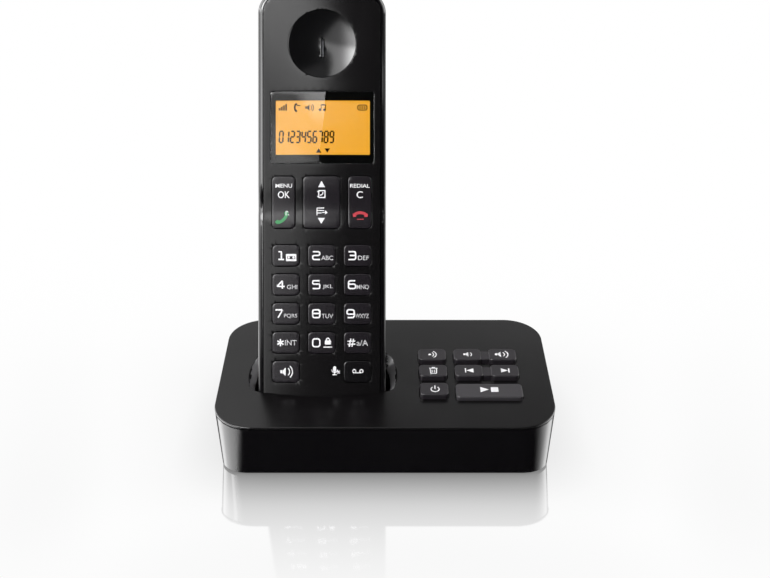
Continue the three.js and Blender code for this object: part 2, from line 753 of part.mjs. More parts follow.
function buildHandset() {
  piece('front_cover', makeFrontCover(), glossBlack, handset);
  piece('face_panel', makeFacePanel(), mattBlack, handset);
  piece('earpiece_dish', makeEarpieceDish(), mattBlack, handset);
  piece('display_lens', makeLens(), windowBlack, handset);
  piece('display_module', makeDisplayModule(), amber, handset);
  pushKeys.forEach(({ name, x, y }) => piece(name, makePushKey(x, y), keyBlack, handset));
  rockerKeys.forEach(({ name, x, width }) => piece(name, makeRockerKey(x, width), keyBlack, handset));
  piece('keypad_mat', makeKeypadMat(), rubberGrey, handset);
  piece('handset_board', makeHandsetBoard(), boardGreen, handset);

  const earSpeaker = makeCapsule(earSpeakerRadius, earSpeakerDepth).rotateX(Math.PI / 2);
  piece('earpiece_speaker', earSpeaker, steel, handset)
    .position.set(earOffset, earHeight, -ledgeBack - seatGap - earSpeakerDepth);
  const ringer = makeCapsule(ringerRadius, ringerDepth).rotateX(-Math.PI / 2);
  piece('ringer_speaker', ringer, steel, handset)
    .position.set(0, ringerHeight, shellWall + seatGap + ringerDepth - handsetDepth);
  piece('microphone', makeCapsule(microphoneRadius, microphoneLength), steel, handset)
    .position.set(0, endWall + seatGap, -microphoneDepth);

  piece('rear_cover', makeRearCover(), mattBlack, handset);
  piece('battery_door', makeBatteryDoor(), mattBlack, handset);
  const cellX = cellRadius + seatGap / 2;
  piece('cell_left', makeCell(), cellSleeve, handset).position.set(-cellX, bayMiddle, -cellDepth);
  const rightCell = piece('cell_right', makeCell(), cellSleeve, handset);
  rightCell.position.set(cellX, bayMiddle, -cellDepth);
  rightCell.rotation.z = Math.PI;
  const bridge = makeBatteryContact(4 * cellRadius - 2 * seatGap, [-cellX, cellX], -1);
  piece('battery_bridge', bridge(0), nickel, handset);
  const terminal = makeBatteryContact(terminalWidth, [0], 1);
  piece('battery_terminal_left', terminal(-cellX), nickel, handset);
  piece('battery_terminal_right', terminal(cellX), nickel, handset);

  [['left', -1], ['right', 1]].forEach(([name, side]) => {
    const plate = new THREE.BoxGeometry(contactWidth, contactPlate, contactSpan);
    piece(`charge_contact_${name}`, plate, nickel, handset)
      .position.set(side * contactSpread, contactPlate / 2, -contactDepth);
    const screw = makeScrew(side * bossSpread, bossHeight, headHeight - headDepth, headRadius,
      headHeight, shankRadius, shankLength);
    piece(`handset_screw_${name}`, screw, steel, handset);
  });
}

// Outline of the base at its deck, and of the housing's lower edge, point for point alike
function baseRing(half, low, high, radius) {
  const shape = roundedBox(0, (low + high) / 2, 2 * half, high - low, radius, outlineSteps);
  return shape.getPoints();
}

const deckRing = (inset) => baseRing(baseWidth / 2 - inset, inset, deckDepth - inset, deckCorner - inset);
const deckOut = new THREE.Vector3(0, 0, 1).transformDirection(deck.matrix);

// Ring of the housing's wall, as far below the deck as depth says
function wallRing(inset, depth) {
  const top = deckRing(inset).map((p) => new THREE.Vector3(p.x, p.y, 0).applyMatrix4(deck.matrix));
  const [side, end] = [sideInset + inset, endInset + inset];
  const foot = baseRing(baseWidth / 2 - side, end, deckRun - end, footCorner - inset);
  return top.map((point, i) => {
    const bottom = new THREE.Vector3(foot[i].x, foot[i].y, footRise);
    const drop = point.clone().sub(bottom).dot(deckOut);
    return point.lerp(bottom, depth / drop);
  });
}

function footRing(inset, z) {
  const [side, end] = [sideInset + inset, endInset + inset];
  const ring = baseRing(baseWidth / 2 - side, end, deckRun - end, footCorner - inset);
  return raised(ring, z);
}

const backWallTop = new THREE.Vector3(0, deckDepth, 0).applyMatrix4(deck.matrix);
// The back wall leans out, so each socket's front follows it at the socket's own height
function backWallAt(z) {
  const share = (z - footRise) / (backWallTop.z - footRise);
  return deckRun - endInset * (1 - share);
}

const lineFront = backWallAt(coverTop) - socketSetback;
const baseSpeakerY = lineFront - lineDepth - baseSpeakerGap - baseSpeakerRadius;
const lineMiddle = coverTop + lineHeight / 2;
const powerMiddle = coverTop + powerSize / 2;

function makeHousing() {
  const outside = loft([footRing(0, footRise), wallRing(0, deckEdge + shadowGap)]);
  const inside = loft([footRing(housingWall, footRise - overrun), wallRing(housingWall, 0)]);
  const lower = loft([footRing(housingWall, footRise - overrun), footRing(housingWall, coverTop)]);
  const lineHole = new THREE.BoxGeometry(lineWidth + 2 * seatGap, 2 * lineDepth, lineHeight + 2 * seatGap)
    .translate(lineX, lineFront, lineMiddle);
  const powerHole = new THREE.BoxGeometry(powerSize + 2 * seatGap, 2 * powerDepth, powerSize + 2 * seatGap)
    .translate(powerX, lineFront, powerMiddle);
  return cut(solidOf(outside), join(solidOf(inside), solidOf(lower)), solidOf(lineHole), solidOf(powerHole));
}

function makeBottomCover() {
  const inset = housingWall + seatGap;
  const plate = loft([footRing(inset, coverBottom), footRing(inset, coverTop)]);
  const slots = Array.from({ length: grilleSlots }, (_, i) => {
    const x = baseSpeakerX + (i - (grilleSlots - 1) / 2) * baseSlotSpacing;
    const slot = roundedBox(x, baseSpeakerY, baseSlotWidth, baseSlotLength, baseSlotWidth / 2,
      slotSteps);
    return solidOf(alongZ(slot, 0, coverTop + overrun));
  });
  const pockets = footPads.map(({ x, y }) => solidOf(rod(x, y, footPadRadius + seatGap, 0,
    coverBottom + footPadPocket)));
  const headSeat = coverBottom + baseHeadHeight + seatGap;
  const screwHoles = [-postX, postX].flatMap((x) => [
    solidOf(rod(x, postY, baseHeadRadius + seatGap, 0, headSeat)),
    solidOf(rod(x, postY, baseShankRadius + seatGap, 0, coverTop + overrun)),
  ]);
  return cut(solidOf(plate), ...slots, ...pockets, ...screwHoles);
}

const footPads = [
  { name: 'foot_front_left', x: -footPadX, y: footPadFront },
  { name: 'foot_front_right', x: footPadX, y: footPadFront },
  { name: 'foot_back_left', x: -footPadX, y: footPadBack },
  { name: 'foot_back_right', x: footPadX, y: footPadBack },
];

// Rim of the well: bowed in front, drawn in a little and rounded behind
function rimShape(inset) {
  const half = rimHalfWidth - inset;
  const bow = Array.from({ length: crownSteps + 1 }, (_, i) => {
    const x = half * (2 * i / crownSteps - 1);
    return [handsetOffset + x, rimFront + rimBow * (x / half) ** 2];
  });
  bow[0].push(rimFrontRadius);
  bow.at(-1).push(rimFrontRadius);
  const back = half - rimTaper;
  return rounded([...bow, [handsetOffset + back, rimBack - inset, rimBackRadius],
    [handsetOffset - back, rimBack - inset, rimBackRadius]]);
}

// The well is the handset's own lower end, grown all round and carried up along the handset
function wellCore(grow, floor) {
  const section = handsetSection(grow);
  const profile = rounded([[-floor, handsetWidth], [wellReach, handsetWidth],
    [wellReach, -gripDepth - grow], [-floor, -gripDepth - grow, bottomBackRadius + grow]]);
  return common(
    solidOf(alongY(section, -overrun, wellReach), handsetToDeck),
    solidOf(alongX(profile, -handsetWidth, handsetWidth), handsetToDeck));
}

const singleKeys = [
  { name: 'page_key', x: baseLeft, y: backRow, width: baseKeyWidth, depth: baseKeyDepth },
  { name: 'delete_key', x: baseLeft, y: middleRow, width: baseKeyWidth, depth: baseKeyDepth },
  { name: 'power_key', x: baseLeft, y: frontRow, width: baseKeyWidth, depth: baseKeyDepth },
  {
    name: 'play_key', x: (baseCentre + baseRight) / 2, y: playRow,
    width: playKeyWidth, depth: playKeyDepth, rise: playKeyRise,
  },
];
const doubleKeys = [
  { name: 'volume_key', y: backRow },
  { name: 'skip_key', y: middleRow },
];

function baseKeyHole(x, y, width, depth) {
  const hole = roundedBox(x, y, width + 2 * keyGap, depth + 2 * keyGap, baseKeyCorner + keyGap);
  return solidOf(alongZ(hole, -deckThickness - overrun, overrun));
}

function makeTopCover() {
  const deckSlab = (inset, low, high) => loft([raised(deckRing(inset), low), raised(deckRing(inset), high)]);
  const rim = loft([raised(deckRing(0), -deckEdge), raised(deckRing(0), -deckBevel),
    raised(deckRing(deckBevel), 0)]);
  const plate = deckSlab(tongueInset, -deckThickness, -deckBevel);
  const tongue = cut(
    solidOf(deckSlab(tongueInset, -tongueDepth, -deckBevel)),
    solidOf(deckSlab(tongueInset + tongueWall, -tongueDepth - overrun, 0)));
  const underDeck = solidOf(deckSlab(tongueInset, -2 * deckHeight, -deckBevel));
  const posts = [-postX, postX].map((x) => common(underDeck, solidOf(
    rod(x, postY, postRadius, coverTop + seatGap, 2 * deckHeight), toDeck)));
  const wellOutside = common(wellCore(wellGrow, wellFloor + wellWall), underDeck);
  const ribs = [-ribSpread, ribSpread].map((x) => {
    const [low, high] = [-wellFloor - wellWall / 2, -wellFloorGap];
    return solidOf(block(x, (low + high) / 2, ribWidth, high - low, -ribBack, -ribFront), handsetToDeck);
  });
  const collar = loft([ringAt(rimShape(rimInset - wellWall), -rimDepth - wellWall),
    ringAt(rimShape(-wellWall), -deckBevel)]);
  const collarCut = loft([ringAt(rimShape(rimInset), -rimDepth),
    ringAt(rimShape(-rimInset * overrun / rimDepth), overrun)]);
  const pilots = [-postX, postX].map((x) => solidOf(rod(x, postY, baseShankRadius + seatGap, 0,
    coverTop + baseShankLength + overrun), toDeck));
  const pinHoles = [-contactSpread, contactSpread].map((x) => {
    const hole = new THREE.CylinderGeometry(pinRadius + pinGap, pinRadius + pinGap, 4 * overrun, roundSides);
    return solidOf(hole.translate(x, 0, -contactDepth), handsetToDeck);
  });
  const cover = cut(
    join(solidOf(rim), solidOf(plate), tongue, ...posts, wellOutside, solidOf(collar)),
    wellCore(wellGap, wellFloor), solidOf(collarCut), ...pilots, ...pinHoles,
    ...singleKeys.map(({ x, y, width, depth }) => baseKeyHole(x, y, width, depth)),
    ...doubleKeys.map(({ y }) => baseKeyHole((baseCentre + baseRight) / 2, y,
      baseKeyWidth + baseColumnSpacing, baseKeyDepth)));
  return join(cover, ...ribs);
}

const baseFlangeTop = deckThickness + baseFlangeGap;
const baseKeyFoot = baseFlangeTop + baseFlangeThickness;

function makeBaseKey({ x, y, width, depth, rise = baseKeyRise }) {
  const flange = roundedBox(x, y, width + 2 * flangeReach, depth + 2 * flangeReach,
    baseKeyCorner + flangeReach);
  return join(
    solidOf(bevelledBox(x, y, width, depth, baseKeyCorner, -baseKeyFoot, rise, keyBevel)),
    solidOf(alongZ(flange, -baseKeyFoot, -baseFlangeTop)));
}

// Two pads and the lower neck between them are one rocker, which pivots on ears at the neck
function makeDoubleKey(y) {
  const middle = (baseCentre + baseRight) / 2;
  const pads = [baseCentre, baseRight].map((x) => solidOf(
    bevelledBox(x, y, baseKeyWidth, baseKeyDepth, baseKeyCorner, -baseKeyFoot, baseKeyRise, keyBevel)));
  const neck = block(middle, y, baseColumnSpacing, neckWidth, -baseKeyFoot, baseKeyRise - neckDrop);
  const ears = block(middle, y, neckWidth, baseKeyDepth + 2 * flangeReach, -baseKeyFoot, -baseFlangeTop);
  return join(...pads, solidOf(neck), solidOf(ears));
}

function makeKeyBed(margin, front, thickness) {
  const [left, right] = [baseLeft - baseKeyWidth / 2, baseRight + baseKeyWidth / 2];
  const [low, high] = [playRow - playKeyDepth / 2, backRow + baseKeyDepth / 2];
  return alongZ(roundedBox((left + right) / 2, (low + high) / 2, right - left + 2 * margin,
    high - low + 2 * margin, baseKeyCorner), -front - thickness, -front);
}

function makeLineSocket() {
  const box = new THREE.BoxGeometry(lineWidth, lineDepth, lineHeight)
    .translate(lineX, lineFront - lineDepth / 2, lineMiddle);
  const hole = new THREE.BoxGeometry(lineHoleWidth, 2 * lineHoleDepth, lineHoleHeight)
    .translate(lineX, lineFront, lineMiddle);
  return cut(solidOf(box), solidOf(hole));
}

function makePowerSocket() {
  const box = new THREE.BoxGeometry(powerSize, powerDepth, powerSize)
    .translate(powerX, lineFront - powerDepth / 2, powerMiddle);
  const bore = new THREE.CylinderGeometry(powerBore, powerBore, 2 * powerBoreDepth, roundSides)
    .translate(powerX, lineFront, powerMiddle);
  const pinBack = lineFront - powerBoreDepth - seatGap;
  const pin = new THREE.CylinderGeometry(powerPinRadius, powerPinRadius, powerPinLength, roundSides)
    .translate(powerX, pinBack + powerPinLength / 2, powerMiddle);
  return join(cut(solidOf(box), solidOf(bore)), solidOf(pin));
}

// A charging pin has a round tip; it stands along the handset's axis, just under its contact
function makeChargePin() {
  const tip = Array.from({ length: cornerSteps + 1 }, (_, i) => {
    const angle = Math.PI / 2 * i / cornerSteps;
    return new THREE.Vector2(pinRadius * Math.cos(angle), -seatGap - pinRadius * (1 - Math.sin(angle)));
  });
  return new THREE.LatheGeometry([new THREE.Vector2(0, -seatGap - pinLength),
    new THREE.Vector2(pinRadius, -seatGap - pinLength), ...tip], roundSides);
}

function buildBase() {
  piece('base_housing', makeHousing(), glossBlack, telephone);
  piece('bottom_cover', makeBottomCover(), mattBlack, telephone);
  piece('top_cover', makeTopCover(), mattBlack, deck);
  singleKeys.forEach((key) => piece(key.name, makeBaseKey(key), keyBlack, deck));
  doubleKeys.forEach(({ name, y }) => piece(name, makeDoubleKey(y), keyBlack, deck));
  const bedFront = baseKeyFoot + keyTravel;
  const boardDepth = bedFront + matThickness + seatGap;
  piece('base_key_mat', makeKeyBed(baseMatMargin, bedFront, matThickness), rubberGrey, deck);
  piece('base_board', makeKeyBed(baseBoardMargin, boardDepth, boardThickness), boardGreen, deck);
  [['left', -1], ['right', 1]].forEach(([name, side]) => {
    piece(`charge_pin_${name}`, makeChargePin(), nickel, handset)
      .position.set(side * contactSpread, 0, -contactDepth);
    const seat = coverBottom + baseHeadHeight;
    piece(`base_screw_${name}`, makeScrew(side * postX, postY, seat, baseHeadRadius, baseHeadHeight,
      baseShankRadius, baseShankLength), steel, telephone);
  });
  const speaker = makeCapsule(baseSpeakerRadius, baseSpeakerHeight).rotateX(Math.PI / 2);
  piece('base_speaker', speaker, steel, telephone)
    .position.set(baseSpeakerX, baseSpeakerY, coverTop);
  piece('line_socket', makeLineSocket(), mattBlack, telephone);
  piece('power_socket', makePowerSocket(), mattBlack, telephone);
  footPads.forEach(({ name, x, y }) => piece(name,
    rod(x, y, footPadRadius, 0, coverBottom + footPadPocket), rubberGrey, telephone));
}

buildHandset();
buildBase();

// The origin goes to the middle of the space that the telephone fills
telephone.updateMatrixWorld(true);
const middle = new THREE.Box3().setFromObject(telephone, true).getCenter(new THREE.Vector3());
telephone.position.set(-middle.x, -middle.y, 0);

export default telephone;
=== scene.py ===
"""Looks of the cordless telephone: smooth shells, printed keys, lit display and studio light.

Lengths are millimetres until a piece is placed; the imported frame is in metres.
"""
import math
from functools import reduce

import bmesh
import bpy
import numpy as np
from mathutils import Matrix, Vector
from mathutils.geometry import delaunay_2d_cdt


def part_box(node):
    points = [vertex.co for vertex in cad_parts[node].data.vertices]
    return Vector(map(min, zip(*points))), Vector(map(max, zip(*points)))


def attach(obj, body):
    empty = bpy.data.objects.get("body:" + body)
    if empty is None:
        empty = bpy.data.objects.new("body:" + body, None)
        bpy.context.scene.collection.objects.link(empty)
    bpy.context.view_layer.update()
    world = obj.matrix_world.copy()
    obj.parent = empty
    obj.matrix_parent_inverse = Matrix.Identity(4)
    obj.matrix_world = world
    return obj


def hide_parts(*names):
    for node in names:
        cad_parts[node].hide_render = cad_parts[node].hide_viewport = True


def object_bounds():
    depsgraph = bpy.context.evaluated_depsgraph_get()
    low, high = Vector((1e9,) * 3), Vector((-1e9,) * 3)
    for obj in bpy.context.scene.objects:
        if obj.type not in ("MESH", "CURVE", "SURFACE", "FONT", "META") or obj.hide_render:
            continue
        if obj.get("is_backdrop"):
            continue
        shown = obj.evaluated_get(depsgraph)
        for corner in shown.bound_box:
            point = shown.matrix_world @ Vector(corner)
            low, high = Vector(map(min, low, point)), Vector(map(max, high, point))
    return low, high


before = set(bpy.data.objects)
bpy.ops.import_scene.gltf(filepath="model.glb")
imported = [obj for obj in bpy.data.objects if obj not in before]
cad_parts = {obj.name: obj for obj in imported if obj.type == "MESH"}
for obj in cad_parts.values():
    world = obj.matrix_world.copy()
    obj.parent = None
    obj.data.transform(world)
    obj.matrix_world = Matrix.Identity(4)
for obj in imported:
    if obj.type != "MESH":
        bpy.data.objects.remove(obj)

cad_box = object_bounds()

# Fits and steps
SEAT_GAP = 0.3
CORNER_STEPS = 10
CLOSE = 1e-6  # metres within which points are one point
PANEL_STEP, LENS_STEP, BAND_STEP, INK_STEP = 3, 2, 0.8, 0.5  # longest run along an edge
PANEL_MESH, LENS_MESH, KEY_MESH, DISH_MESH = 1.6, 1.5, 1.2, 0.8  # spacing of points in a face

# Handset, drawn with its face up: x across, y along it from its bottom end, z out of it
HANDSET_WIDTH = 47
HALF_WIDTH = HANDSET_WIDTH / 2
HANDSET_LENGTH = 158
HANDSET_DEPTH = 23.5
GRIP_DEPTH = 21.8
VIEW_CORNER = 7.7
CROWN_DROP = 1.1
EDGE_RADIUS = 1.8
BACK_RADIUS = 8
BOTTOM_BACK_RADIUS = 5
SHELL_WALL = 1.8
SPLIT_DEPTH = 11
LEDGE_DEPTH = 2.9
LEDGE_WALL = 1.2
PANEL_BAND = 1.8
LIP_DROP, LIP_TOP, LIP_ROUND = 0.2, 0.06, 0.05  # the band's inner edge beside the panel
SEAM_ROUND = 0.2
PANEL_THICKNESS = 1.6
PANEL_ROUND = 0.16
FINE_GAP = 0.14  # seen round a key
LENS_GAP = 0.06  # seen round the window and the earpiece
CREASE_HEIGHT = 78  # where the face turns, along the handset
CREASE_BELOW, CREASE_ABOVE = 6, 9  # how far the shallow valley reaches each way
CREASE_DEPTH = 0.47
BAND_CREASE = 1.35  # the shining band turns more sharply than the panel
TOP_TRIM = 0.02  # keeps the finer rounding under the CAD outline's top

# Earpiece and display
EAR_X, EAR_Y, EAR_RADIUS = 0.15, 138.4, 12.4
EAR_HOLLOW = 1.9
EAR_RIM_DEPTH = 0.3
EAR_THICKNESS = 2.3
SLIT_WIDTH, SLIT_LENGTH, SLIT_DROP, SLIT_ROUND = 0.8, 7, 1.1, 0.12
EAR_SPEAKER_HOLE = 9
LENS_X, LENS_Y = 0.2, 107.7
LENS_WIDTH, LENS_HEIGHT, LENS_CORNER = 38, 26.5, 1.2
LENS_THICKNESS, LENS_ROUND = 1.3, 0.2
PRINT_TOP, PRINT_FOOT, PRINT_CORNER = 0.02, 0.08, 0.3  # under the window's back
GLASS_WIDTH, GLASS_HEIGHT = 35.6, 21.4
GLASS_DEPTH = 2.4
FIELD_X, FIELD_WIDTH, FIELD_HEIGHT = 0.35, 34.5, 19.9  # lit field inside the print

# Handset keys
KEY_WIDTH, KEY_HEIGHT, KEY_CORNER = 10, 7.9, 1.7
KEY_RISE, KEY_BEVEL = 0.5, 0.4
KEY_COLUMNS = (-13.1, 0, 13.1)
KEY_ROWS = (60.7, 50.07, 39.44, 28.81, 18.18)
ROCKER_Y, ROCKER_HEIGHT, ROCKER_EAR = 80.2, 19.2, 7
ROCKERS = (("menu_call_key", -13.95, 8.5), ("nav_key", 0, 13.5), ("redial_end_key", 13.95, 8.5))
FLANGE_REACH, FLANGE_DEPTH, FLANGE_THICKNESS = 0.8, 2.7, 1.1
KEY_FOOT = FLANGE_DEPTH + FLANGE_THICKNESS
WINDOW_HALF, WINDOW_LOW, WINDOW_HIGH = 19.7, 13, 91.4
BOSS_X, BOSS_Y, BOSS_RADIUS = 14, 7.9, 2.6
PILOT_RADIUS = 1.2

# Base, drawn on its sloping deck: x across, y up the slope from its front edge, z out of it
BASE_WIDTH, DECK_DEPTH = 123, 71
FOOT_RISE, FRONT_HEIGHT = 0.8, 20.06
DECK_TILT = math.radians(7.07)
DECK_CORNER = 14
DECK_EDGE, DECK_BEVEL, DECK_THICKNESS, HOLE_ROUND = 0.8, 0.35, 2.2, 0.15
TONGUE_INSET, TONGUE_WALL, TONGUE_DEPTH = 3, 1.2, 4.6

# Cradle
HANDSET_LEAN = math.radians(23.74)
HANDSET_OFFSET = -23.2
FACE_CROSSING = 20.4
SUNK_LENGTH = 10.199
WELL_GAP, WELL_WALL, WELL_FLOOR = 0.6, 1.5, 1.2
RIM_HALF, RIM_TAPER = 26.9, 0.8
RIM_FRONT, RIM_BACK, RIM_BOW = 18.44, 48.5, 4.3
RIM_FRONT_RADIUS, RIM_BACK_RADIUS = 4, 8
RIM_DEPTH = 4.5
RIM_LEVELS = ((0, -0.3), (0.03, -0.18), (0.1, -0.08), (0.2, 0), (0.5, 0.24), (0.9, 0.6), (1.4, 1.05),
              (2, 1.6), (2.8, 2.3), (RIM_DEPTH, 2.75))  # the collar's depth and inset
RIM_MIDDLE, JOIN_MIDDLE, FLOOR_MIDDLE = 32.5, 30, 11.5  # where the well's rings are centred
COLLAR_REACH, COLLAR_DEPTH, COLLAR_RISE = 0.2, (0.15, 3), (0.3, 0.95)  # where the collar's slopes are painted pale: a painted sheen for the light they catch
CONTACT_SPREAD, CONTACT_DEPTH = 7, 14.3
PIN_HOLE = 1.4

# Base keys
BASE_KEY_WIDTH, BASE_KEY_DEPTH, BASE_KEY_CORNER = 10.4, 7.6, 1.6
BASE_KEY_RISE, PLAY_KEY_RISE, BASE_KEY_BEVEL = 1.9, 1.5, 0.45
BASE_COLUMNS = (18, 31.4, 44.8)
BASE_ROWS = (43.3, 32.6, 20.9)
PLAY_X, PLAY_Y, PLAY_WIDTH, PLAY_DEPTH = 38.1, 20.4, 24.4, 8.4
NECK_WIDTH, NECK_DROP, KEY_SAG = 5.4, 0.45, 0.03
BASE_FLANGE_TOP, BASE_KEY_FOOT = 2.5, 3.4

# Print
INK_RISE, INK_DEPTH = 0.02, 0.05


# Places

def frame_of(origin, along, out):
    """Placing function: origin plus x across, y times along and z times out, in metres."""
    axes = np.array([[1, 0, 0], along, out], float)
    return lambda points: (np.asarray(origin, float) + np.asarray(points, float) @ axes) / 1000


deck_along = np.array([0, math.cos(DECK_TILT), math.sin(DECK_TILT)])
deck_out = np.array([0, -math.sin(DECK_TILT), math.cos(DECK_TILT)])
handset_along = np.array([0, math.sin(HANDSET_LEAN), math.cos(HANDSET_LEAN)])
handset_out = np.array([0, -math.cos(HANDSET_LEAN), math.sin(HANDSET_LEAN)])
front_y = 1000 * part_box("top_cover")[0][1] - DECK_BEVEL * math.sin(DECK_TILT)
deck_origin = np.array([0, front_y, FOOT_RISE + FRONT_HEIGHT])
handset_origin = (deck_origin + np.array([HANDSET_OFFSET, 0, 0])
                  + FACE_CROSSING * deck_along - SUNK_LENGTH * handset_along)
on_deck = frame_of(deck_origin, deck_along, deck_out)
on_handset = frame_of(handset_origin, handset_along, handset_out)


def deck_from_handset(points):
    """Deck coordinates of points given along the handset: the same place on the deck's axes."""
    place = 1000 * on_handset(points) - deck_origin
    return np.column_stack([place[:, 0], place @ deck_along, place @ deck_out])


# Outlines

def rounded(corners, steps=CORNER_STEPS):
    """Closed outline through corners (x, y, radius). A rounded corner is an arc of equal
    steps about the point on the bisector at radius / sin(half the corner's angle)."""
    points = []
    for i, corner in enumerate(corners):
        here = np.array(corner[:2], float)
        radius = corner[2] if len(corner) > 2 else 0
        if radius <= 0:
            points.append(here[None])
            continue
        before = np.array(corners[i - 1][:2], float) - here
        after = np.array(corners[(i + 1) % len(corners)][:2], float) - here
        before /= np.linalg.norm(before)
        after /= np.linalg.norm(after)
        half = math.acos(np.clip(before @ after, -1, 1)) / 2
        bisector = (before + after) / np.linalg.norm(before + after)
        centre = here + bisector * radius / math.sin(half)
        spoke = here + before * radius / math.tan(half) - centre
        side = -np.sign(before[0] * after[1] - before[1] * after[0])
        angles = side * (math.pi - 2 * half) * np.linspace(0, 1, steps + 1)
        turned = np.column_stack([spoke[0] * np.cos(angles) - spoke[1] * np.sin(angles),
                                  spoke[0] * np.sin(angles) + spoke[1] * np.cos(angles)])
        points.append(centre + turned)
    return np.vstack(points)


def box_outline(x, y, width, height, radius, steps=CORNER_STEPS):
    """Rectangle about (x, y) with arcs of the radius at its corners, from lower left on."""
    left, right = x - width / 2, x + width / 2
    low, high = y - height / 2, y + height / 2
    r = max(radius, 0.02)
    return rounded([(left, low, r), (right, low, r), (right, high, r), (left, high, r)], steps)


def circle(x, y, radius, sides=64):
    """Points at equal angles at the radius from (x, y)."""
    angles = 2 * math.pi * np.arange(sides) / sides
    return np.column_stack([x + radius * np.cos(angles), y + radius * np.sin(angles)])


def lengthened(outline, spacing=1.5):
    """The outline with its long straight runs cut into equal steps, for a crowned surface."""
    pieces = []
    for start, end in zip(outline, np.roll(outline, -1, axis=0)):
        steps = max(1, math.ceil(np.linalg.norm(end - start) / spacing))
        pieces.append(start + (np.arange(steps) / steps)[:, None] * (end - start))
    return np.vstack(pieces)


def grown(x, y, width, height, radius, steps=8, spacing=None):
    """Function that gives a rounded box grown all round, cut into steps if there's a spacing."""
    def outline(grow):
        points = box_outline(x, y, width + 2 * grow, height + 2 * grow, radius + grow, steps)
        return lengthened(points, spacing) if spacing else points
    return outline


def polar(outline, centre, sides=168):
    """The outline again, at equal angles about centre: the radius is read between points."""
    away = outline - centre
    angles = np.arctan2(away[:, 1], away[:, 0])
    order = np.argsort(angles)
    radii = np.hypot(away[:, 0], away[:, 1])
    turn = -math.pi + 2 * math.pi * np.arange(sides) / sides
    radius = np.interp(turn, angles[order], radii[order], period=2 * math.pi)
    return centre + radius[:, None] * np.column_stack([np.cos(turn), np.sin(turn)])


def inside(points, outline, holes=()):
    """True where a ray along +x from the point crosses the outline an odd number of times, and
    the point lies in none of the holes."""
    x, y = points[:, 0, None], points[:, 1, None]
    start, end = outline, np.roll(outline, -1, axis=0)
    spans = (start[:, 1] > y) != (end[:, 1] > y)
    rise = np.where(end[:, 1] == start[:, 1], 1e-12, end[:, 1] - start[:, 1])
    crossing = start[:, 0] + (y - start[:, 1]) * (end[:, 0] - start[:, 0]) / rise
    within = (spans & (x < crossing)).sum(axis=1) % 2 == 1
    for hole in holes:
        within &= ~inside(points, hole)
    return within


# Surfaces

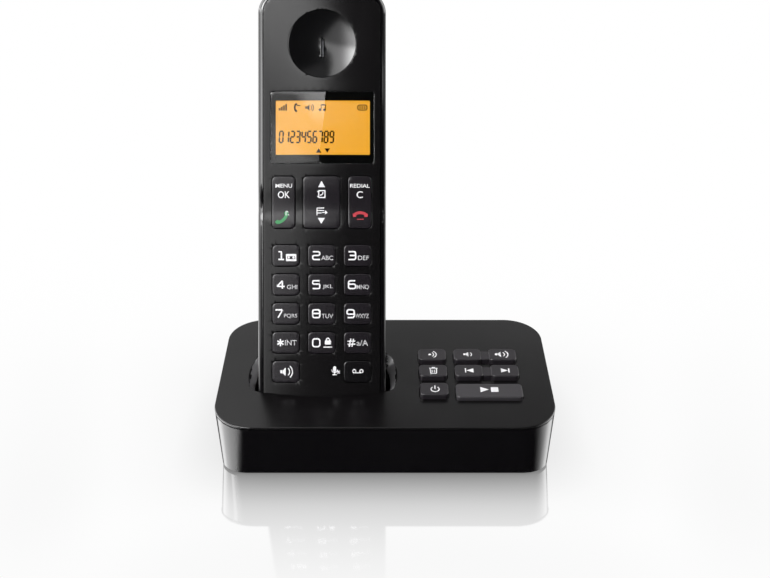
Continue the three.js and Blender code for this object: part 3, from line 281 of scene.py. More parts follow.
class Skin:
    """Surface of one piece in the making: rings of points, and the faces between them."""

    def __init__(self, place):
        self.place = place
        self.points = np.empty((0, 3))
        self.faces = []

    def add(self, points):
        """Adds points, an (n, 3) array, and gives their numbers."""
        start = len(self.points)
        self.points = np.vstack([self.points, points])
        return np.arange(start, len(self.points))

    def ring(self, outline, height=0.0):
        """Adds an outline at a height: a number, one for each point, or a function of them."""
        level = height(outline) if callable(height) else height
        return self.add(np.column_stack([outline, np.broadcast_to(level, len(outline))]))

    def rounding(self, outline, radius, steps, height=0.0, side=-1):
        """Rings of a rounded edge from its top outwards, each at the height less its drop."""
        rings = []
        for inset, drop in quarter(radius, steps):
            points = outline(side * inset)
            rings.append(self.ring(points, (height(points) if callable(height) else height) - drop))
        return rings

    def bands(self, *rings):
        """Quads from each ring to the next, between point i and point i + 1."""
        for low, high in zip(rings, rings[1:]):
            self.faces += np.stack([low, np.roll(low, -1), np.roll(high, -1), high], axis=1).tolist()

    def strips(self, *rows):
        """Quads from each row of points to the next; the rows don't close."""
        for low, high in zip(rows, rows[1:]):
            self.faces += np.stack([low[:-1], low[1:], high[1:], high[:-1]], axis=1).tolist()

    def lid(self, *rings):
        """One face across each ring."""
        self.faces += [np.asarray(ring).tolist() for ring in rings]

    def prism(self, outline, low, high):
        """Closed block that stands straight on an outline."""
        ends = self.ring(outline, low), self.ring(outline, high)
        self.bands(*ends)
        self.lid(*ends)

    def fill(self, rings, spacing=0, height=0.0):
        """Triangles between the first ring and its holes, the others, seen along z. Lattice
        points spacing apart lie inside, at the height."""
        numbers = np.concatenate(rings)
        plane = self.points[numbers][:, :2]
        outer, *holes = [self.points[ring][:, :2] for ring in rings]
        if spacing:
            low, high = plane.min(axis=0), plane.max(axis=0)
            grid = np.meshgrid(*(np.arange(a + spacing / 2, b, spacing) for a, b in zip(low, high)))
            lattice = np.column_stack([axis.ravel() for axis in grid])
            gap = np.hypot(*(lattice[:, None, i] - plane[None, :, i] for i in (0, 1))).min(axis=1)
            lattice = lattice[(gap > spacing / 2) & inside(lattice, outer, holes)]
            plane = np.vstack([plane, lattice])
            numbers = np.concatenate([numbers, self.ring(lattice, height)])
        starts = np.cumsum([0] + [len(ring) for ring in rings])
        edges = [(int(a + i), int(a + (i + 1) % (b - a)))
                 for a, b in zip(starts, starts[1:]) for i in range(b - a)]
        cells = delaunay_2d_cdt([Vector(p) for p in plane.tolist()], edges, [], 0, 1e-7)
        first = np.array([origin[0] if origin else -1 for origin in cells[3]])
        triangles = first[np.array(cells[2])]
        triangles = triangles[(triangles >= 0).all(axis=1)]
        keep = inside(plane[triangles].mean(axis=1), outer, holes)
        self.faces += numbers[triangles[keep]].tolist()

    def slab(self, sides, spacing=0, top=0.0, bottom=0.0):
        """Plate between two heights. Each side is its rings from top to bottom: the first goes
        round the plate, the others round its holes."""
        for rings in sides:
            self.bands(*rings)
        for end, height in ((0, top), (-1, bottom)):
            self.fill([rings[end] for rings in sides], spacing, height)

    def dome(self, outline, height, shares=(0.82, 0.6, 0.35, 0.12)):
        """Rings drawn in to the outline's middle by each share, at height(x, y), and a lid."""
        middle = (outline.min(axis=0) + outline.max(axis=0)) / 2
        rings = [self.ring(middle + share * (outline - middle), height) for share in (1, *shares)]
        self.bands(*rings)
        self.lid(rings[-1])

    def finish(self, name, body, finish, *nodes):
        """Makes the mesh and gives it its body, its finish and the nodes that it replaces."""
        mesh = bpy.data.meshes.new(name)
        mesh.from_pydata(self.place(self.points).tolist(), [], self.faces)
        return dress(mesh, name, body, finish, nodes)


def dress(mesh, name, body, finish, nodes, angle=34, flat=0.0):
    """Joins close points, and flat faces too up to an angle, turns the faces outwards, shades
    smooth up to the other angle, and gives the piece its body and finish."""
    work = bmesh.new()
    work.from_mesh(mesh)
    bmesh.ops.remove_doubles(work, verts=work.verts, dist=CLOSE)
    if flat:
        bmesh.ops.dissolve_limit(work, angle_limit=math.radians(flat), verts=work.verts,
                                 edges=work.edges)
    bmesh.ops.recalc_face_normals(work, faces=work.faces)
    work.to_mesh(mesh)
    work.free()
    mesh.polygons.foreach_set("use_smooth", np.ones(len(mesh.polygons), bool))
    mesh.set_sharp_from_angle(angle=math.radians(angle))
    piece = bpy.data.objects.new(name, mesh)
    bpy.context.scene.collection.objects.link(piece)
    mesh.materials.append(materials[finish])
    weighted = piece.modifiers.new("flat_faces_lead", "WEIGHTED_NORMAL")
    weighted.keep_sharp = True
    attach(piece, body)
    if nodes:
        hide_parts(*nodes)
    return piece


def quarter(radius, steps):
    """Rounded edge from the top inwards to the side: inset r(1 - sin a) and drop r(1 - cos a)."""
    angles = np.linspace(0, math.pi / 2, steps + 1)
    return [(radius * (1 - math.sin(a)), radius * (1 - math.cos(a))) for a in angles]


# Nodes

class Nodes:
    """Nodes of one tree, each added with its values and links in one call."""

    def __init__(self, tree):
        self.tree = tree

    def add(self, kind, values=(), **links):
        """New node: values set its properties, links its inputs by name, or by _number."""
        node = self.tree.nodes.new(kind if kind.startswith("Node") else "ShaderNode" + kind)
        for key, value in dict(values).items():
            setattr(node, key, value)
        for label, source in links.items():
            socket = node.inputs[int(label[1:]) if label[0] == "_" else label.replace("_", " ")]
            if isinstance(source, bpy.types.NodeSocket):
                self.tree.links.new(source, socket)
            else:
                socket.default_value = source
        return node

    def math(self, operation, *sources, kind="Math"):
        """Output of a math node on up to three numbers or sockets."""
        return self.add(kind, {"operation": operation},
                        **{f"_{i}": source for i, source in enumerate(sources)}).outputs[0]

    def product(self, *factors):
        """Product of numbers or sockets."""
        return reduce(lambda a, b: self.math("MULTIPLY", a, b), factors)

    def total(self, *terms):
        """Sum of numbers or sockets."""
        return reduce(lambda a, b: self.math("ADD", a, b), terms)

    def ramp(self, value, start, end, low=0.0, high=1.0):
        """Smooth step of a value from low at the start to high at the end."""
        return self.add("MapRange", {"interpolation_type": "SMOOTHSTEP"}, Value=value, From_Min=start,
                        From_Max=end, To_Min=low, To_Max=high).outputs[0]

    def steps(self, value, levels):
        """Level at a value, between pairs (value, level), each step a ramp."""
        rises = [self.ramp(value, start, end, 0, after - before)
                 for (start, before), (end, after) in zip(levels, levels[1:]) if after != before]
        return self.total(levels[0][1], *rises)

    def noise(self, place, scale, **more):
        """Noise about a place."""
        return self.add("TexNoise", Vector=place, Scale=scale, **more).outputs[0]

    def group(self, tree, **links):
        """Output of a node group."""
        return self.add("Group", {"node_tree": tree}, **links).outputs[0]

    def place(self):
        """Place on the object."""
        return self.add("TexCoord").outputs["Object"]


def group_of(name, output, **inputs):
    """Nodes and inputs of an empty node group; an input of None is left to its link."""
    kinds = {"Place": "NodeSocketVector", "Colour": "NodeSocketColor"}
    group = bpy.data.node_groups.new(name, "ShaderNodeTree")
    for label, value in inputs.items():
        socket = group.interface.new_socket(label, in_out="INPUT",
                                            socket_type=kinds.get(label, "NodeSocketFloat"))
        if value is not None:
            socket.default_value = value
    group.interface.new_socket(output, in_out="OUTPUT", socket_type=kinds.get(output, "NodeSocketFloat"))
    nodes = Nodes(group)
    return nodes, nodes.add("NodeGroupInput").outputs


def make_moulded_grain():
    """Fine grain of a moulded surface: two sizes of noise added, the finer at a third."""
    nodes, source = group_of("moulded_grain", "Height", Place=None, Fineness=1500)
    coarse = nodes.noise(source["Place"], source["Fineness"], Detail=2.0)
    fine = nodes.noise(source["Place"], nodes.math("MULTIPLY", source["Fineness"], 3.1))
    nodes.add("NodeGroupOutput", Height=nodes.math("MULTIPLY_ADD", fine, 0.33, coarse))
    return nodes.tree


def make_handling():
    """Faint marks of handling: wide noise, sharpened, with fine streaks laid over it."""
    nodes, source = group_of("handling_marks", "Mask", Place=None, Size=40)
    wide = nodes.noise(source["Place"], source["Size"], Detail=3.0, Roughness=0.6)
    stretched = nodes.add("Mapping", Vector=source["Place"], Scale=(9, 1, 1)).outputs[0]
    streaks = nodes.noise(stretched, source["Size"], Detail=4.0)
    nodes.add("NodeGroupOutput", Mask=nodes.product(nodes.ramp(wide, 0.42, 0.66), streaks))
    return nodes.tree


def make_tone_drift():
    """Slow drift of a colour: the colour times 1 plus drift times (noise less a half)."""
    nodes, source = group_of("tone_drift", "Colour", Place=None, Colour=None, Drift=0.2, Size=60)
    off = nodes.math("SUBTRACT", nodes.noise(source["Place"], source["Size"], Detail=2.0), 0.5)
    gain = nodes.math("MULTIPLY_ADD", off, source["Drift"], 1)
    scaled = nodes.add("VectorMath", {"operation": "SCALE"}, _0=source["Colour"], Scale=gain)
    nodes.add("NodeGroupOutput", Colour=scaled.outputs[0])
    return nodes.tree


moulded_grain, handling_marks, tone_drift = make_moulded_grain(), make_handling(), make_tone_drift()


def linear(colour):
    """Linear colour of a written 0 to 255 colour, by the display's own curve."""
    share = np.array(colour) / 255
    return (*np.where(share <= 0.04045, share / 12.92, ((share + 0.055) / 1.055) ** 2.4).tolist(), 1)


def new_material(name, emptied=False):
    """Material and its nodes; its first shader goes if it is emptied."""
    material = bpy.data.materials.new(name)
    material.use_nodes = True
    if emptied:
        material.node_tree.nodes.clear()
    return material, Nodes(material.node_tree)


def make_finish(name, colour, roughness, grain=1500, depth=0.001, drift=0.25, marks=0.05, **sockets):
    """Material of one finish: colour with a slow drift, roughness raised by handling marks,
    and a bump of moulded grain; sockets are set on the shader itself."""
    material, nodes = new_material(name)
    shader, place = nodes.tree.nodes["Principled BSDF"], nodes.place()
    tone = nodes.group(tone_drift, Place=place, Colour=linear(colour), Drift=drift)
    rough = nodes.math("MULTIPLY_ADD", nodes.group(handling_marks, Place=place), marks, roughness)
    height = nodes.group(moulded_grain, Place=place, Fineness=grain)
    bump = nodes.add("Bump", Height=height, Strength=1.0, Distance=depth / 1000).outputs[0]
    for label, source in (("Base Color", tone), ("Roughness", rough), ("Normal", bump)):
        nodes.tree.links.new(source, shader.inputs[label])
    for label, value in sockets.items():
        shader.inputs[label.replace("_", " ")].default_value = value
    return material


# Slot of the record that each finish stands for (None: only on the solids that stay), colour,
# roughness and what else it has
FINISHES = {
    "gloss_black": ("gloss_black", (10, 9, 11), 0.07, {"depth": 0.0004}),
    "panel_black": ("matt_black", (12, 11, 12), 0.17, {"grain": 2400, "depth": 0.0014}),
    "key_black": ("key_black", (25, 22, 26), 0.22, {"grain": 2600, "depth": 0.002}),
    "flush_key_black": ("key_black", (9, 8, 10), 0.22, {"grain": 2600, "depth": 0.002}),
    "deck_black": ("matt_black", (10, 9, 10), 0.22, {"grain": 2100, "depth": 0.004}),
    # painted sheen: the collar is black like the deck, and this pale colour stands in for the light its
    # sloping sides catch
    "collar_painted_sheen": ("matt_black", (122, 121, 123), 0.3, {"grain": 2100, "depth": 0.004}),
    "base_key_black": ("key_black", (33, 30, 34), 0.36, {"grain": 2600, "depth": 0.004}),
    "play_key_grey": ("key_black", (52, 50, 53), 0.36, {"grain": 2600, "depth": 0.004}),
    "dish_black": ("satin_black", (9, 9, 10), 0.16, {"grain": 2600, "depth": 0.0006}),
    "back_black": ("satin_black", (30, 28, 31), 0.5, {"grain": 2000, "depth": 0.01}),
    "print_black": ("matt_black", (5, 6, 6), 0.6, {"Specular_IOR_Level": 0.0}),
    "rubber_grey": (None, (62, 62, 64), 0.8, {"grain": 1200, "depth": 0.02}),
    "board_green": (None, (30, 90, 56), 0.45, {"grain": 900, "depth": 0.01}),
    "nickel": (None, (201, 198, 191), 0.28, {"Metallic": 1.0}),
    "steel": (None, (143, 144, 148), 0.34, {"depth": 0.002, "Metallic": 1.0}),
    "cell_sleeve": (None, (47, 109, 74), 0.35, {}),
    "legend_white": ("key_black", (226, 225, 227), 0.5, {"drift": 0.12}),
    "legend_dim": ("key_black", (182, 181, 183), 0.5, {"drift": 0.2}),
    "legend_green": ("key_black", (44, 128, 74), 0.5, {"drift": 0.12}),
    "legend_red": ("key_black", (176, 44, 56), 0.5, {"drift": 0.12}),
    "display_ink": ("amber_display", (36, 20, 6), 0.6, {"Specular_IOR_Level": 0.0}),
    "display_glow": (None, (90, 58, 8), 0.15, {"Specular_IOR_Level": 0.8}),
    "window_clear": ("dark_window", None, None, {}),  # made by its own function
}
GLOW_COLOUR, GLOW_STRENGTH = (240, 170, 36), 0.95


def make_window_clear():
    """Clear plastic: its shader lets light through, and faint marks raise its roughness."""
    material, nodes = new_material("window_clear")
    shader = nodes.tree.nodes["Principled BSDF"]
    for label, value in (("Base Color", (1, 1, 1, 1)), ("Transmission Weight", 1.0), ("IOR", 1.49)):
        shader.inputs[label].default_value = value
    mask = nodes.group(handling_marks, Place=nodes.place())
    nodes.tree.links.new(nodes.product(mask, 0.012), shader.inputs["Roughness"])
    return material


def light_display(material):
    """Lights the display's field: emission of the amber colour, with a slow drift."""
    nodes = Nodes(material.node_tree)
    shader = nodes.tree.nodes["Principled BSDF"]
    glow = nodes.group(tone_drift, Place=nodes.place(), Colour=linear(GLOW_COLOUR), Drift=0.08, Size=45)
    nodes.tree.links.new(glow, shader.inputs["Emission Color"])
    shader.inputs["Emission Strength"].default_value = GLOW_STRENGTH


materials = {name: make_finish(name, colour, roughness, **more) if colour else make_window_clear()
             for name, (slot, colour, roughness, more) in FINISHES.items()}
light_display(materials["display_glow"])


# Handset shell

def crown(x):
    """Drop of the face at x: the crown's drop times (x / half the width) squared."""
    return CROWN_DROP * (x / HALF_WIDTH) ** 2


def crease(y):
    """Rise of the face at its soft crease: a shallow cosine valley, longer on its upper side."""
    reach = np.where(y < CREASE_HEIGHT, CREASE_BELOW, CREASE_ABOVE)
    share = np.clip(np.abs(y - CREASE_HEIGHT) / reach, 0, 1)
    return -CREASE_DEPTH * (0.5 + 0.5 * np.cos(math.pi * share))


def crowned(level):
    """Height function of points (x, y): level, less the crown."""
    return lambda points: level - crown(points[:, 0])


def face(level=0.0):
    """Height function of points (x, y): level, less the crown, plus the crease."""
    return lambda points: level - crown(points[:, 0]) + crease(points[:, 1])


view_outline = grown(0, (HANDSET_LENGTH - TOP_TRIM) / 2, HANDSET_WIDTH, HANDSET_LENGTH - TOP_TRIM,
                     VIEW_CORNER, 14)
lens_outline = grown(LENS_X, LENS_Y, LENS_WIDTH, LENS_HEIGHT, LENS_CORNER, spacing=LENS_STEP)


def make_front_cover():
    """Shining band carried round the front view: panel seat, rounded edge, side, seam, inner
    wall and the ledge under the panel with its openings."""
    skin = Skin(on_handset)
    edge = lengthened(view_outline(0), BAND_STEP)
    run = np.roll(edge, -1, axis=0) - np.roll(edge, 1, axis=0)
    normal = np.column_stack([run[:, 1], -run[:, 0]])
    normal /= np.linalg.norm(normal, axis=1)[:, None]

    def band(inset, drop, bent_by=1.0):
        outline = edge - inset * normal
        rise = BAND_CREASE * crease(outline[:, 1]) - crown(outline[:, 0])
        return skin.ring(outline, bent_by * rise - drop)

    side = [band(PANEL_BAND, LEDGE_DEPTH, 0), band(PANEL_BAND, LIP_DROP),
            band(PANEL_BAND - LIP_ROUND, LIP_TOP)]
    side += [band(inset, drop) for inset, drop in quarter(EDGE_RADIUS, 8)]
    side += [band(inset, depth, 0) for inset, depth in (
        (0, SPLIT_DEPTH - SEAM_ROUND), (0.15, SPLIT_DEPTH), (SHELL_WALL, SPLIT_DEPTH),
        (SHELL_WALL, LEDGE_DEPTH + LEDGE_WALL))]
    openings = [
        box_outline(0, (WINDOW_LOW + WINDOW_HIGH) / 2, 2 * WINDOW_HALF, WINDOW_HIGH - WINDOW_LOW, 1),
        box_outline(LENS_X, LENS_Y, GLASS_WIDTH + 2 * SEAT_GAP, GLASS_HEIGHT + 2 * SEAT_GAP, 0.6),
        circle(EAR_X, EAR_Y, EAR_SPEAKER_HOLE),
    ]
    skin.slab([side, *([skin.ring(opening, -depth) for depth in (LEDGE_DEPTH, LEDGE_DEPTH + LEDGE_WALL)]
                       for opening in openings)])
    high = -LEDGE_DEPTH - LEDGE_WALL + 0.1
    for x in (-BOSS_X, BOSS_X):
        outer, bore = (circle(x, BOSS_Y, radius, 32) for radius in (BOSS_RADIUS, PILOT_RADIUS))
        top, end = skin.ring(outer, high), skin.ring(bore, high - 0.3)
        skin.bands(top, skin.ring(outer, -SPLIT_DEPTH), skin.ring(bore, -SPLIT_DEPTH), end)
        skin.lid(top, end)
    return skin.finish("front_shell", "handset", "gloss_black", "front_cover")


def key_places():
    """Name, place, width and height of every key in the face panel."""
    names = (("key_1", "key_2", "key_3"), ("key_4", "key_5", "key_6"), ("key_7", "key_8", "key_9"),
             ("key_star", "key_0", "key_hash"), ("speaker_key", None, "message_key"))
    pushes = [(name, x, y, KEY_WIDTH, KEY_HEIGHT) for row, y in zip(names, KEY_ROWS)
              for name, x in zip(row, KEY_COLUMNS) if name]
    rockers = [(name, x, ROCKER_Y, width, ROCKER_HEIGHT) for name, x, width in ROCKERS]
    return pushes + rockers


def make_face_panel():
    """Crowned panel with its openings: each edge is a small round, and the crown and the
    crease lift every point inside."""
    skin = Skin(on_handset)
    inset, underside = PANEL_BAND + SEAT_GAP, crowned(-PANEL_THICKNESS)
    boxes = [(x, y, width + 2 * FINE_GAP, height + 2 * FINE_GAP, KEY_CORNER + FINE_GAP)
             for _, x, y, width, height in key_places()]
    boxes.append((LENS_X, LENS_Y, LENS_WIDTH + LENS_GAP, LENS_HEIGHT + LENS_GAP, LENS_CORNER))
    edges = [(-1, lambda grow: lengthened(view_outline(grow - inset), PANEL_STEP)),
             *((1, grown(*box, spacing=PANEL_STEP)) for box in boxes),
             (1, lambda grow: circle(EAR_X, EAR_Y, EAR_RADIUS + LENS_GAP + grow, 96))]
    skin.slab([[*skin.rounding(edge, PANEL_ROUND, 3, face(), side), skin.ring(edge(0), underside)]
               for side, edge in edges], PANEL_MESH, face(), underside)
    return skin.finish("face_plate", "handset", "panel_black", "face_panel")


def make_earpiece():
    """Turned dish: depth falls with the square of the radius from its rim; a slit is cut
    through it."""
    skin = Skin(on_handset)
    back = -EAR_RIM_DEPTH - EAR_THICKNESS

    def hollow(points):
        radius = np.linalg.norm(points - (EAR_X, EAR_Y), axis=1)
        return -EAR_RIM_DEPTH - EAR_HOLLOW * (1 - np.clip(radius / EAR_RADIUS, 0, 1) ** 2)

    slit = grown(EAR_X, EAR_Y - SLIT_DROP, SLIT_WIDTH, SLIT_LENGTH, SLIT_WIDTH / 2)
    rim = circle(EAR_X, EAR_Y, EAR_RADIUS, 128)
    lip = skin.ring(slit(SLIT_ROUND), hollow)
    wall = skin.ring(slit(0), lambda points: hollow(points) - SLIT_ROUND)
    bottom = skin.ring(slit(0), back)
    top = skin.ring(circle(EAR_X, EAR_Y, EAR_RADIUS - 0.1, 128), hollow)
    side, foot = skin.ring(rim, -EAR_RIM_DEPTH - 0.08), skin.ring(rim, back)
    skin.bands(top, side, foot)
    skin.bands(lip, wall, bottom)
    skin.fill([top, lip], DISH_MESH, hollow)
    skin.fill([foot, bottom])
    return skin.finish("earpiece_bowl", "handset", "dish_black", "earpiece_dish")


def make_lens():
    """Clear window that follows the crown, a closed slab with a rounded edge."""
    skin = Skin(on_handset)
    front, back = crowned(0), crowned(-LENS_THICKNESS)
    side = [*skin.rounding(lens_outline, LENS_ROUND, 3, front), skin.ring(lens_outline(0), back)]
    skin.slab([side], LENS_MESH, front, back)
    return skin.finish("display_window", "handset", "window_clear", "display_lens")


def make_lens_print():
    """Black print on the back of the window: a thin frame round the lit field."""
    skin = Skin(on_handset)
    outer = box_outline(LENS_X, LENS_Y, LENS_WIDTH - 0.1, LENS_HEIGHT - 0.1, LENS_CORNER)
    hole = box_outline(FIELD_X, LENS_Y, FIELD_WIDTH, FIELD_HEIGHT, PRINT_CORNER)
    levels = crowned(-LENS_THICKNESS - PRINT_TOP), crowned(-LENS_THICKNESS - PRINT_FOOT)
    skin.slab([[skin.ring(lengthened(outline, LENS_STEP), level) for level in levels]
               for outline in (outer, hole)], KEY_MESH, *levels)
    return skin.finish("window_frame_print", "handset", "print_black")


# Keys

def key_block(skin, outline, reach, flange, foot, bevel, height):
    """Flange, straight side and rounded edge of a key; gives the ring of its top."""
    rings = [skin.ring(outline(reach), -foot), skin.ring(outline(reach), -flange),
             skin.ring(outline(0), -flange), *skin.rounding(outline, bevel, 5, height)[::-1]]
    skin.bands(*rings)
    skin.lid(rings[0])
    return rings[-1]


def make_key(name, x, y, width, height):
    """Key of the handset; its top follows the face. A tall key has an ear on each side."""
    skin = Skin(on_handset)
    outline = grown(x, y, width, height, KEY_CORNER, spacing=PANEL_STEP)
    rocker = height > KEY_HEIGHT
    top = key_block(skin, outline, 0 if rocker else FLANGE_REACH, FLANGE_DEPTH, KEY_FOOT, KEY_BEVEL,
                    face(KEY_RISE))
    skin.fill([top], KEY_MESH, face(KEY_RISE))
    if rocker:
        ears = box_outline(x, y, width + 2 * FLANGE_REACH, ROCKER_EAR, 0.3, 2)
        skin.prism(ears, -KEY_FOOT, -FLANGE_DEPTH)
    finish = "flush_key_black" if name == "message_key" else "key_black"
    return skin.finish(name + "_cap", name, finish, name)


def base_key_block(skin, x, y, width, depth, rise, reach):
    """One pad of a base key: its top sags to its middle."""
    outline = grown(x, y, width, depth, BASE_KEY_CORNER)
    key_block(skin, outline, reach, BASE_FLANGE_TOP, BASE_KEY_FOOT, BASE_KEY_BEVEL, rise)
    half = np.array([width / 2, depth / 2]) - BASE_KEY_BEVEL
    skin.dome(outline(-BASE_KEY_BEVEL), lambda p: rise - KEY_SAG * np.clip(
        1 - (((p - (x, y)) / half) ** 2).max(axis=1), 0, 1))


def make_base_key(name, x, y, width=BASE_KEY_WIDTH, depth=BASE_KEY_DEPTH, rise=BASE_KEY_RISE,
                  finish="base_key_black"):
    """Single key of the base."""
    skin = Skin(on_deck)
    base_key_block(skin, x, y, width, depth, rise, FLANGE_REACH)
    return skin.finish(name + "_cap", name, finish, name)


def make_double_key(name, y):
    """Rocker of the base: two pads and the lower neck that joins them."""
    skin = Skin(on_deck)
    for x in BASE_COLUMNS[1:]:
        base_key_block(skin, x, y, BASE_KEY_WIDTH, BASE_KEY_DEPTH, BASE_KEY_RISE, 0)
    spacing, level = BASE_COLUMNS[2] - BASE_COLUMNS[1], BASE_KEY_RISE - NECK_DROP
    neck = [box_outline(PLAY_X, y, spacing, NECK_WIDTH - 2 * inset, 0.2, 2) for inset in (0, 0.3)]
    rings = [skin.ring(neck[0], -BASE_KEY_FOOT), skin.ring(neck[0], level - 0.3), skin.ring(neck[1], level)]
    skin.bands(*rings)
    skin.lid(rings[0], rings[-1])
    ears = box_outline(PLAY_X, y, NECK_WIDTH, BASE_KEY_DEPTH + 2 * FLANGE_REACH, 0.2, 2)
    skin.prism(ears, -BASE_KEY_FOOT, -BASE_FLANGE_TOP)
    return skin.finish(name + "_cap", name, "base_key_black", name)


# Base

deck_outline = grown(0, DECK_DEPTH / 2, BASE_WIDTH, DECK_DEPTH, DECK_CORNER, 20)


def rim_outline(inset):
    """Opening of the well: bowed in front by a parabola, drawn in and rounded behind."""
    half = RIM_HALF - inset
    bow = [(HANDSET_OFFSET + half * s, RIM_FRONT + RIM_BOW * s * s) for s in np.linspace(-1, 1, 25)]
    bow[0] += (RIM_FRONT_RADIUS,)
    bow[-1] += (RIM_FRONT_RADIUS,)
    back = half - RIM_TAPER
    return rounded([*bow, (HANDSET_OFFSET + back, RIM_BACK - inset, RIM_BACK_RADIUS),
                    (HANDSET_OFFSET - back, RIM_BACK - inset, RIM_BACK_RADIUS)])


def well_section(grow):
    """Section of the handset's lower end, grown: (x, depth) with the grip's flat back."""
    half, radius, depth = HALF_WIDTH + grow, BACK_RADIUS + grow, HANDSET_DEPTH + grow
    front = [(half * s, -grow + crown(half * s)) for s in np.linspace(-1, 1, 17)]
    front[0] += (EDGE_RADIUS + grow,)
    front[-1] += (EDGE_RADIUS + grow,)
    outline = rounded([*front, (half, depth, radius), (-half, depth, radius)])
    return np.column_stack([outline[:, 0], np.minimum(outline[:, 1], GRIP_DEPTH + grow)])


def cut_section(section, depth):
    """The section carried along the handset to the plane that lies depth under the deck."""
    points = np.column_stack([section[:, 0], np.zeros(len(section)), -section[:, 1]])
    start = deck_from_handset(points)
    step = deck_from_handset(points + [0, 1, 0]) - start
    return (start + step * ((-depth - start[:, 2]) / step[:, 2])[:, None])[:, :2]


def well_level(depth, inset, grow):
    """Outline of the well at a depth under the deck: the collar's, drawn in, or the handset's
    section, grown, whichever lies farther from the middle at each angle."""
    centre = np.array([HANDSET_OFFSET, RIM_MIDDLE])
    rim, section = [polar(outline, centre)
                    for outline in (rim_outline(inset), cut_section(well_section(grow), depth))]
    reach = [np.linalg.norm(outline - centre, axis=1) for outline in (rim, section)]
    return np.where((reach[0] > reach[1])[:, None], rim, section)


def floor_place(floor_level, grow):
    """Placing function of a floor of the well: (x, depth) lies at the level along the handset,
    raised towards the back by the round of the handset's end."""
    radius = BOTTOM_BACK_RADIUS + grow

    def place(points):
        over = np.clip(points[:, 1] - (GRIP_DEPTH + grow - radius), 0, radius)
        length = floor_level + radius - np.sqrt(np.clip(radius ** 2 - over ** 2, 0, None))
        return deck_from_handset(np.column_stack([points[:, 0], length, -points[:, 1]]))
    return place


def fill_well(skin, rings, place):
    """Fills a floor of the well in the plane across the handset, then gives it back."""
    saved = skin.points
    world = 1000 * on_deck(saved) - handset_origin
    skin.points = np.column_stack([saved[:, 0] - HANDSET_OFFSET, -world @ handset_out,
                                   world @ handset_along])
    skin.fill(rings, PANEL_MESH)
    skin.points = np.vstack([saved, place(skin.points[len(saved):, :2])])


def make_top_cover():
    """Deck, collar and well in one skin: rim rounded into the side, tongue below it, a collar
    that slopes to the handset, walls carried along it, a floor pierced for the charging pins."""
    skin = Skin(on_deck)
    edge = skin.rounding(deck_outline, DECK_BEVEL, 4)
    low = [skin.ring(deck_outline(-inset), -depth) for inset, depth in (
        (0, DECK_EDGE), (TONGUE_INSET, DECK_EDGE), (TONGUE_INSET, TONGUE_DEPTH),
        (TONGUE_INSET + TONGUE_WALL, TONGUE_DEPTH), (TONGUE_INSET + TONGUE_WALL, DECK_THICKNESS))]
    skin.bands(*edge, *low)

    def joined(grow, depth):
        """Ring where the well's wall takes up the handset's section, grown."""
        section = cut_section(well_section(grow), depth)
        return skin.ring(polar(section, np.array([HANDSET_OFFSET, JOIN_MIDDLE])), -depth)

    wall = WELL_GAP + WELL_WALL
    rim = [skin.ring(well_level(depth, inset, WELL_GAP), -depth) for depth, inset in RIM_LEVELS]
    outer = [skin.ring(well_level(depth, inset, wall), -depth)
             for depth, inset in ((RIM_DEPTH + WELL_WALL, 0.5), (RIM_DEPTH, 0.2), (DECK_THICKNESS, -1.4))]
    places = floor_place(-WELL_FLOOR, WELL_GAP), floor_place(-WELL_FLOOR - WELL_WALL, wall)
    ends = [skin.add(place(polar(well_section(grow), np.array([0, FLOOR_MIDDLE]))))
            for grow, place in zip((WELL_GAP, wall), places)]
    skin.bands(*rim, joined(WELL_GAP, RIM_DEPTH), ends[0])
    skin.bands(ends[1], joined(wall, RIM_DEPTH + WELL_WALL), *outer)

    double = BASE_KEY_WIDTH + BASE_COLUMNS[2] - BASE_COLUMNS[1]
    holes = [*((BASE_COLUMNS[0], y, BASE_KEY_WIDTH, BASE_KEY_DEPTH) for y in BASE_ROWS),
             *((PLAY_X, y, double, BASE_KEY_DEPTH) for y in BASE_ROWS[:2]),
             (PLAY_X, PLAY_Y, PLAY_WIDTH, PLAY_DEPTH)]
    levels = (FINE_GAP + HOLE_ROUND, 0), (FINE_GAP, HOLE_ROUND), (FINE_GAP, DECK_THICKNESS)
    sides = [[skin.ring(grown(*hole, BASE_KEY_CORNER, 6)(grow), -depth) for grow, depth in levels]
             for hole in holes]
    for side in sides:
        skin.bands(*side)
    skin.fill([edge[0], rim[0], *(side[0] for side in sides)])
    skin.fill([low[-1], outer[-1], *(side[-1] for side in sides)])

    pins = [circle(side * CONTACT_SPREAD, CONTACT_DEPTH, PIN_HOLE, 24) for side in (-1, 1)]
    bores = [[skin.add(place(pin)) for pin in pins] for place in places]
    for top, bottom in zip(*bores):
        skin.bands(top, bottom)
    for end, bore, place in zip(ends, bores, places):
        fill_well(skin, [end, *bore], place)
    # the collar's sloping sides get a painted sheen: a pale colour in place of the light they catch
    paint_collar_sheen(skin.finish("deck_and_well", "base", "deck_black", "top_cover"))


def paint_collar_sheen(cover):
    """Paints the sloping sides of the collar pale, a painted sheen that stands in for the light they
    catch on black plastic: faces beside the handset, within the collar's depth, that look neither up nor
    down."""
    mesh = cover.data
    mesh.materials.append(materials["collar_painted_sheen"])
    centres, normals = np.empty((2, len(mesh.polygons), 3), np.float32)
    mesh.polygons.foreach_get("center", centres.reshape(-1))
    mesh.polygons.foreach_get("normal", normals.reshape(-1))
    place = 1000 * centres - deck_origin
    away, depth, rise = np.abs(place[:, 0] - HANDSET_OFFSET), -place @ deck_out, normals @ deck_out

    def between(values, low, high):
        return (values > low) & (values < high)

    painted_sheen_faces = between(away, HALF_WIDTH + WELL_GAP - COLLAR_REACH, RIM_HALF + COLLAR_REACH) & between(
        depth, *COLLAR_DEPTH) & between(rise, *COLLAR_RISE)
    mesh.polygons.foreach_set("material_index", painted_sheen_faces.astype(np.int32))


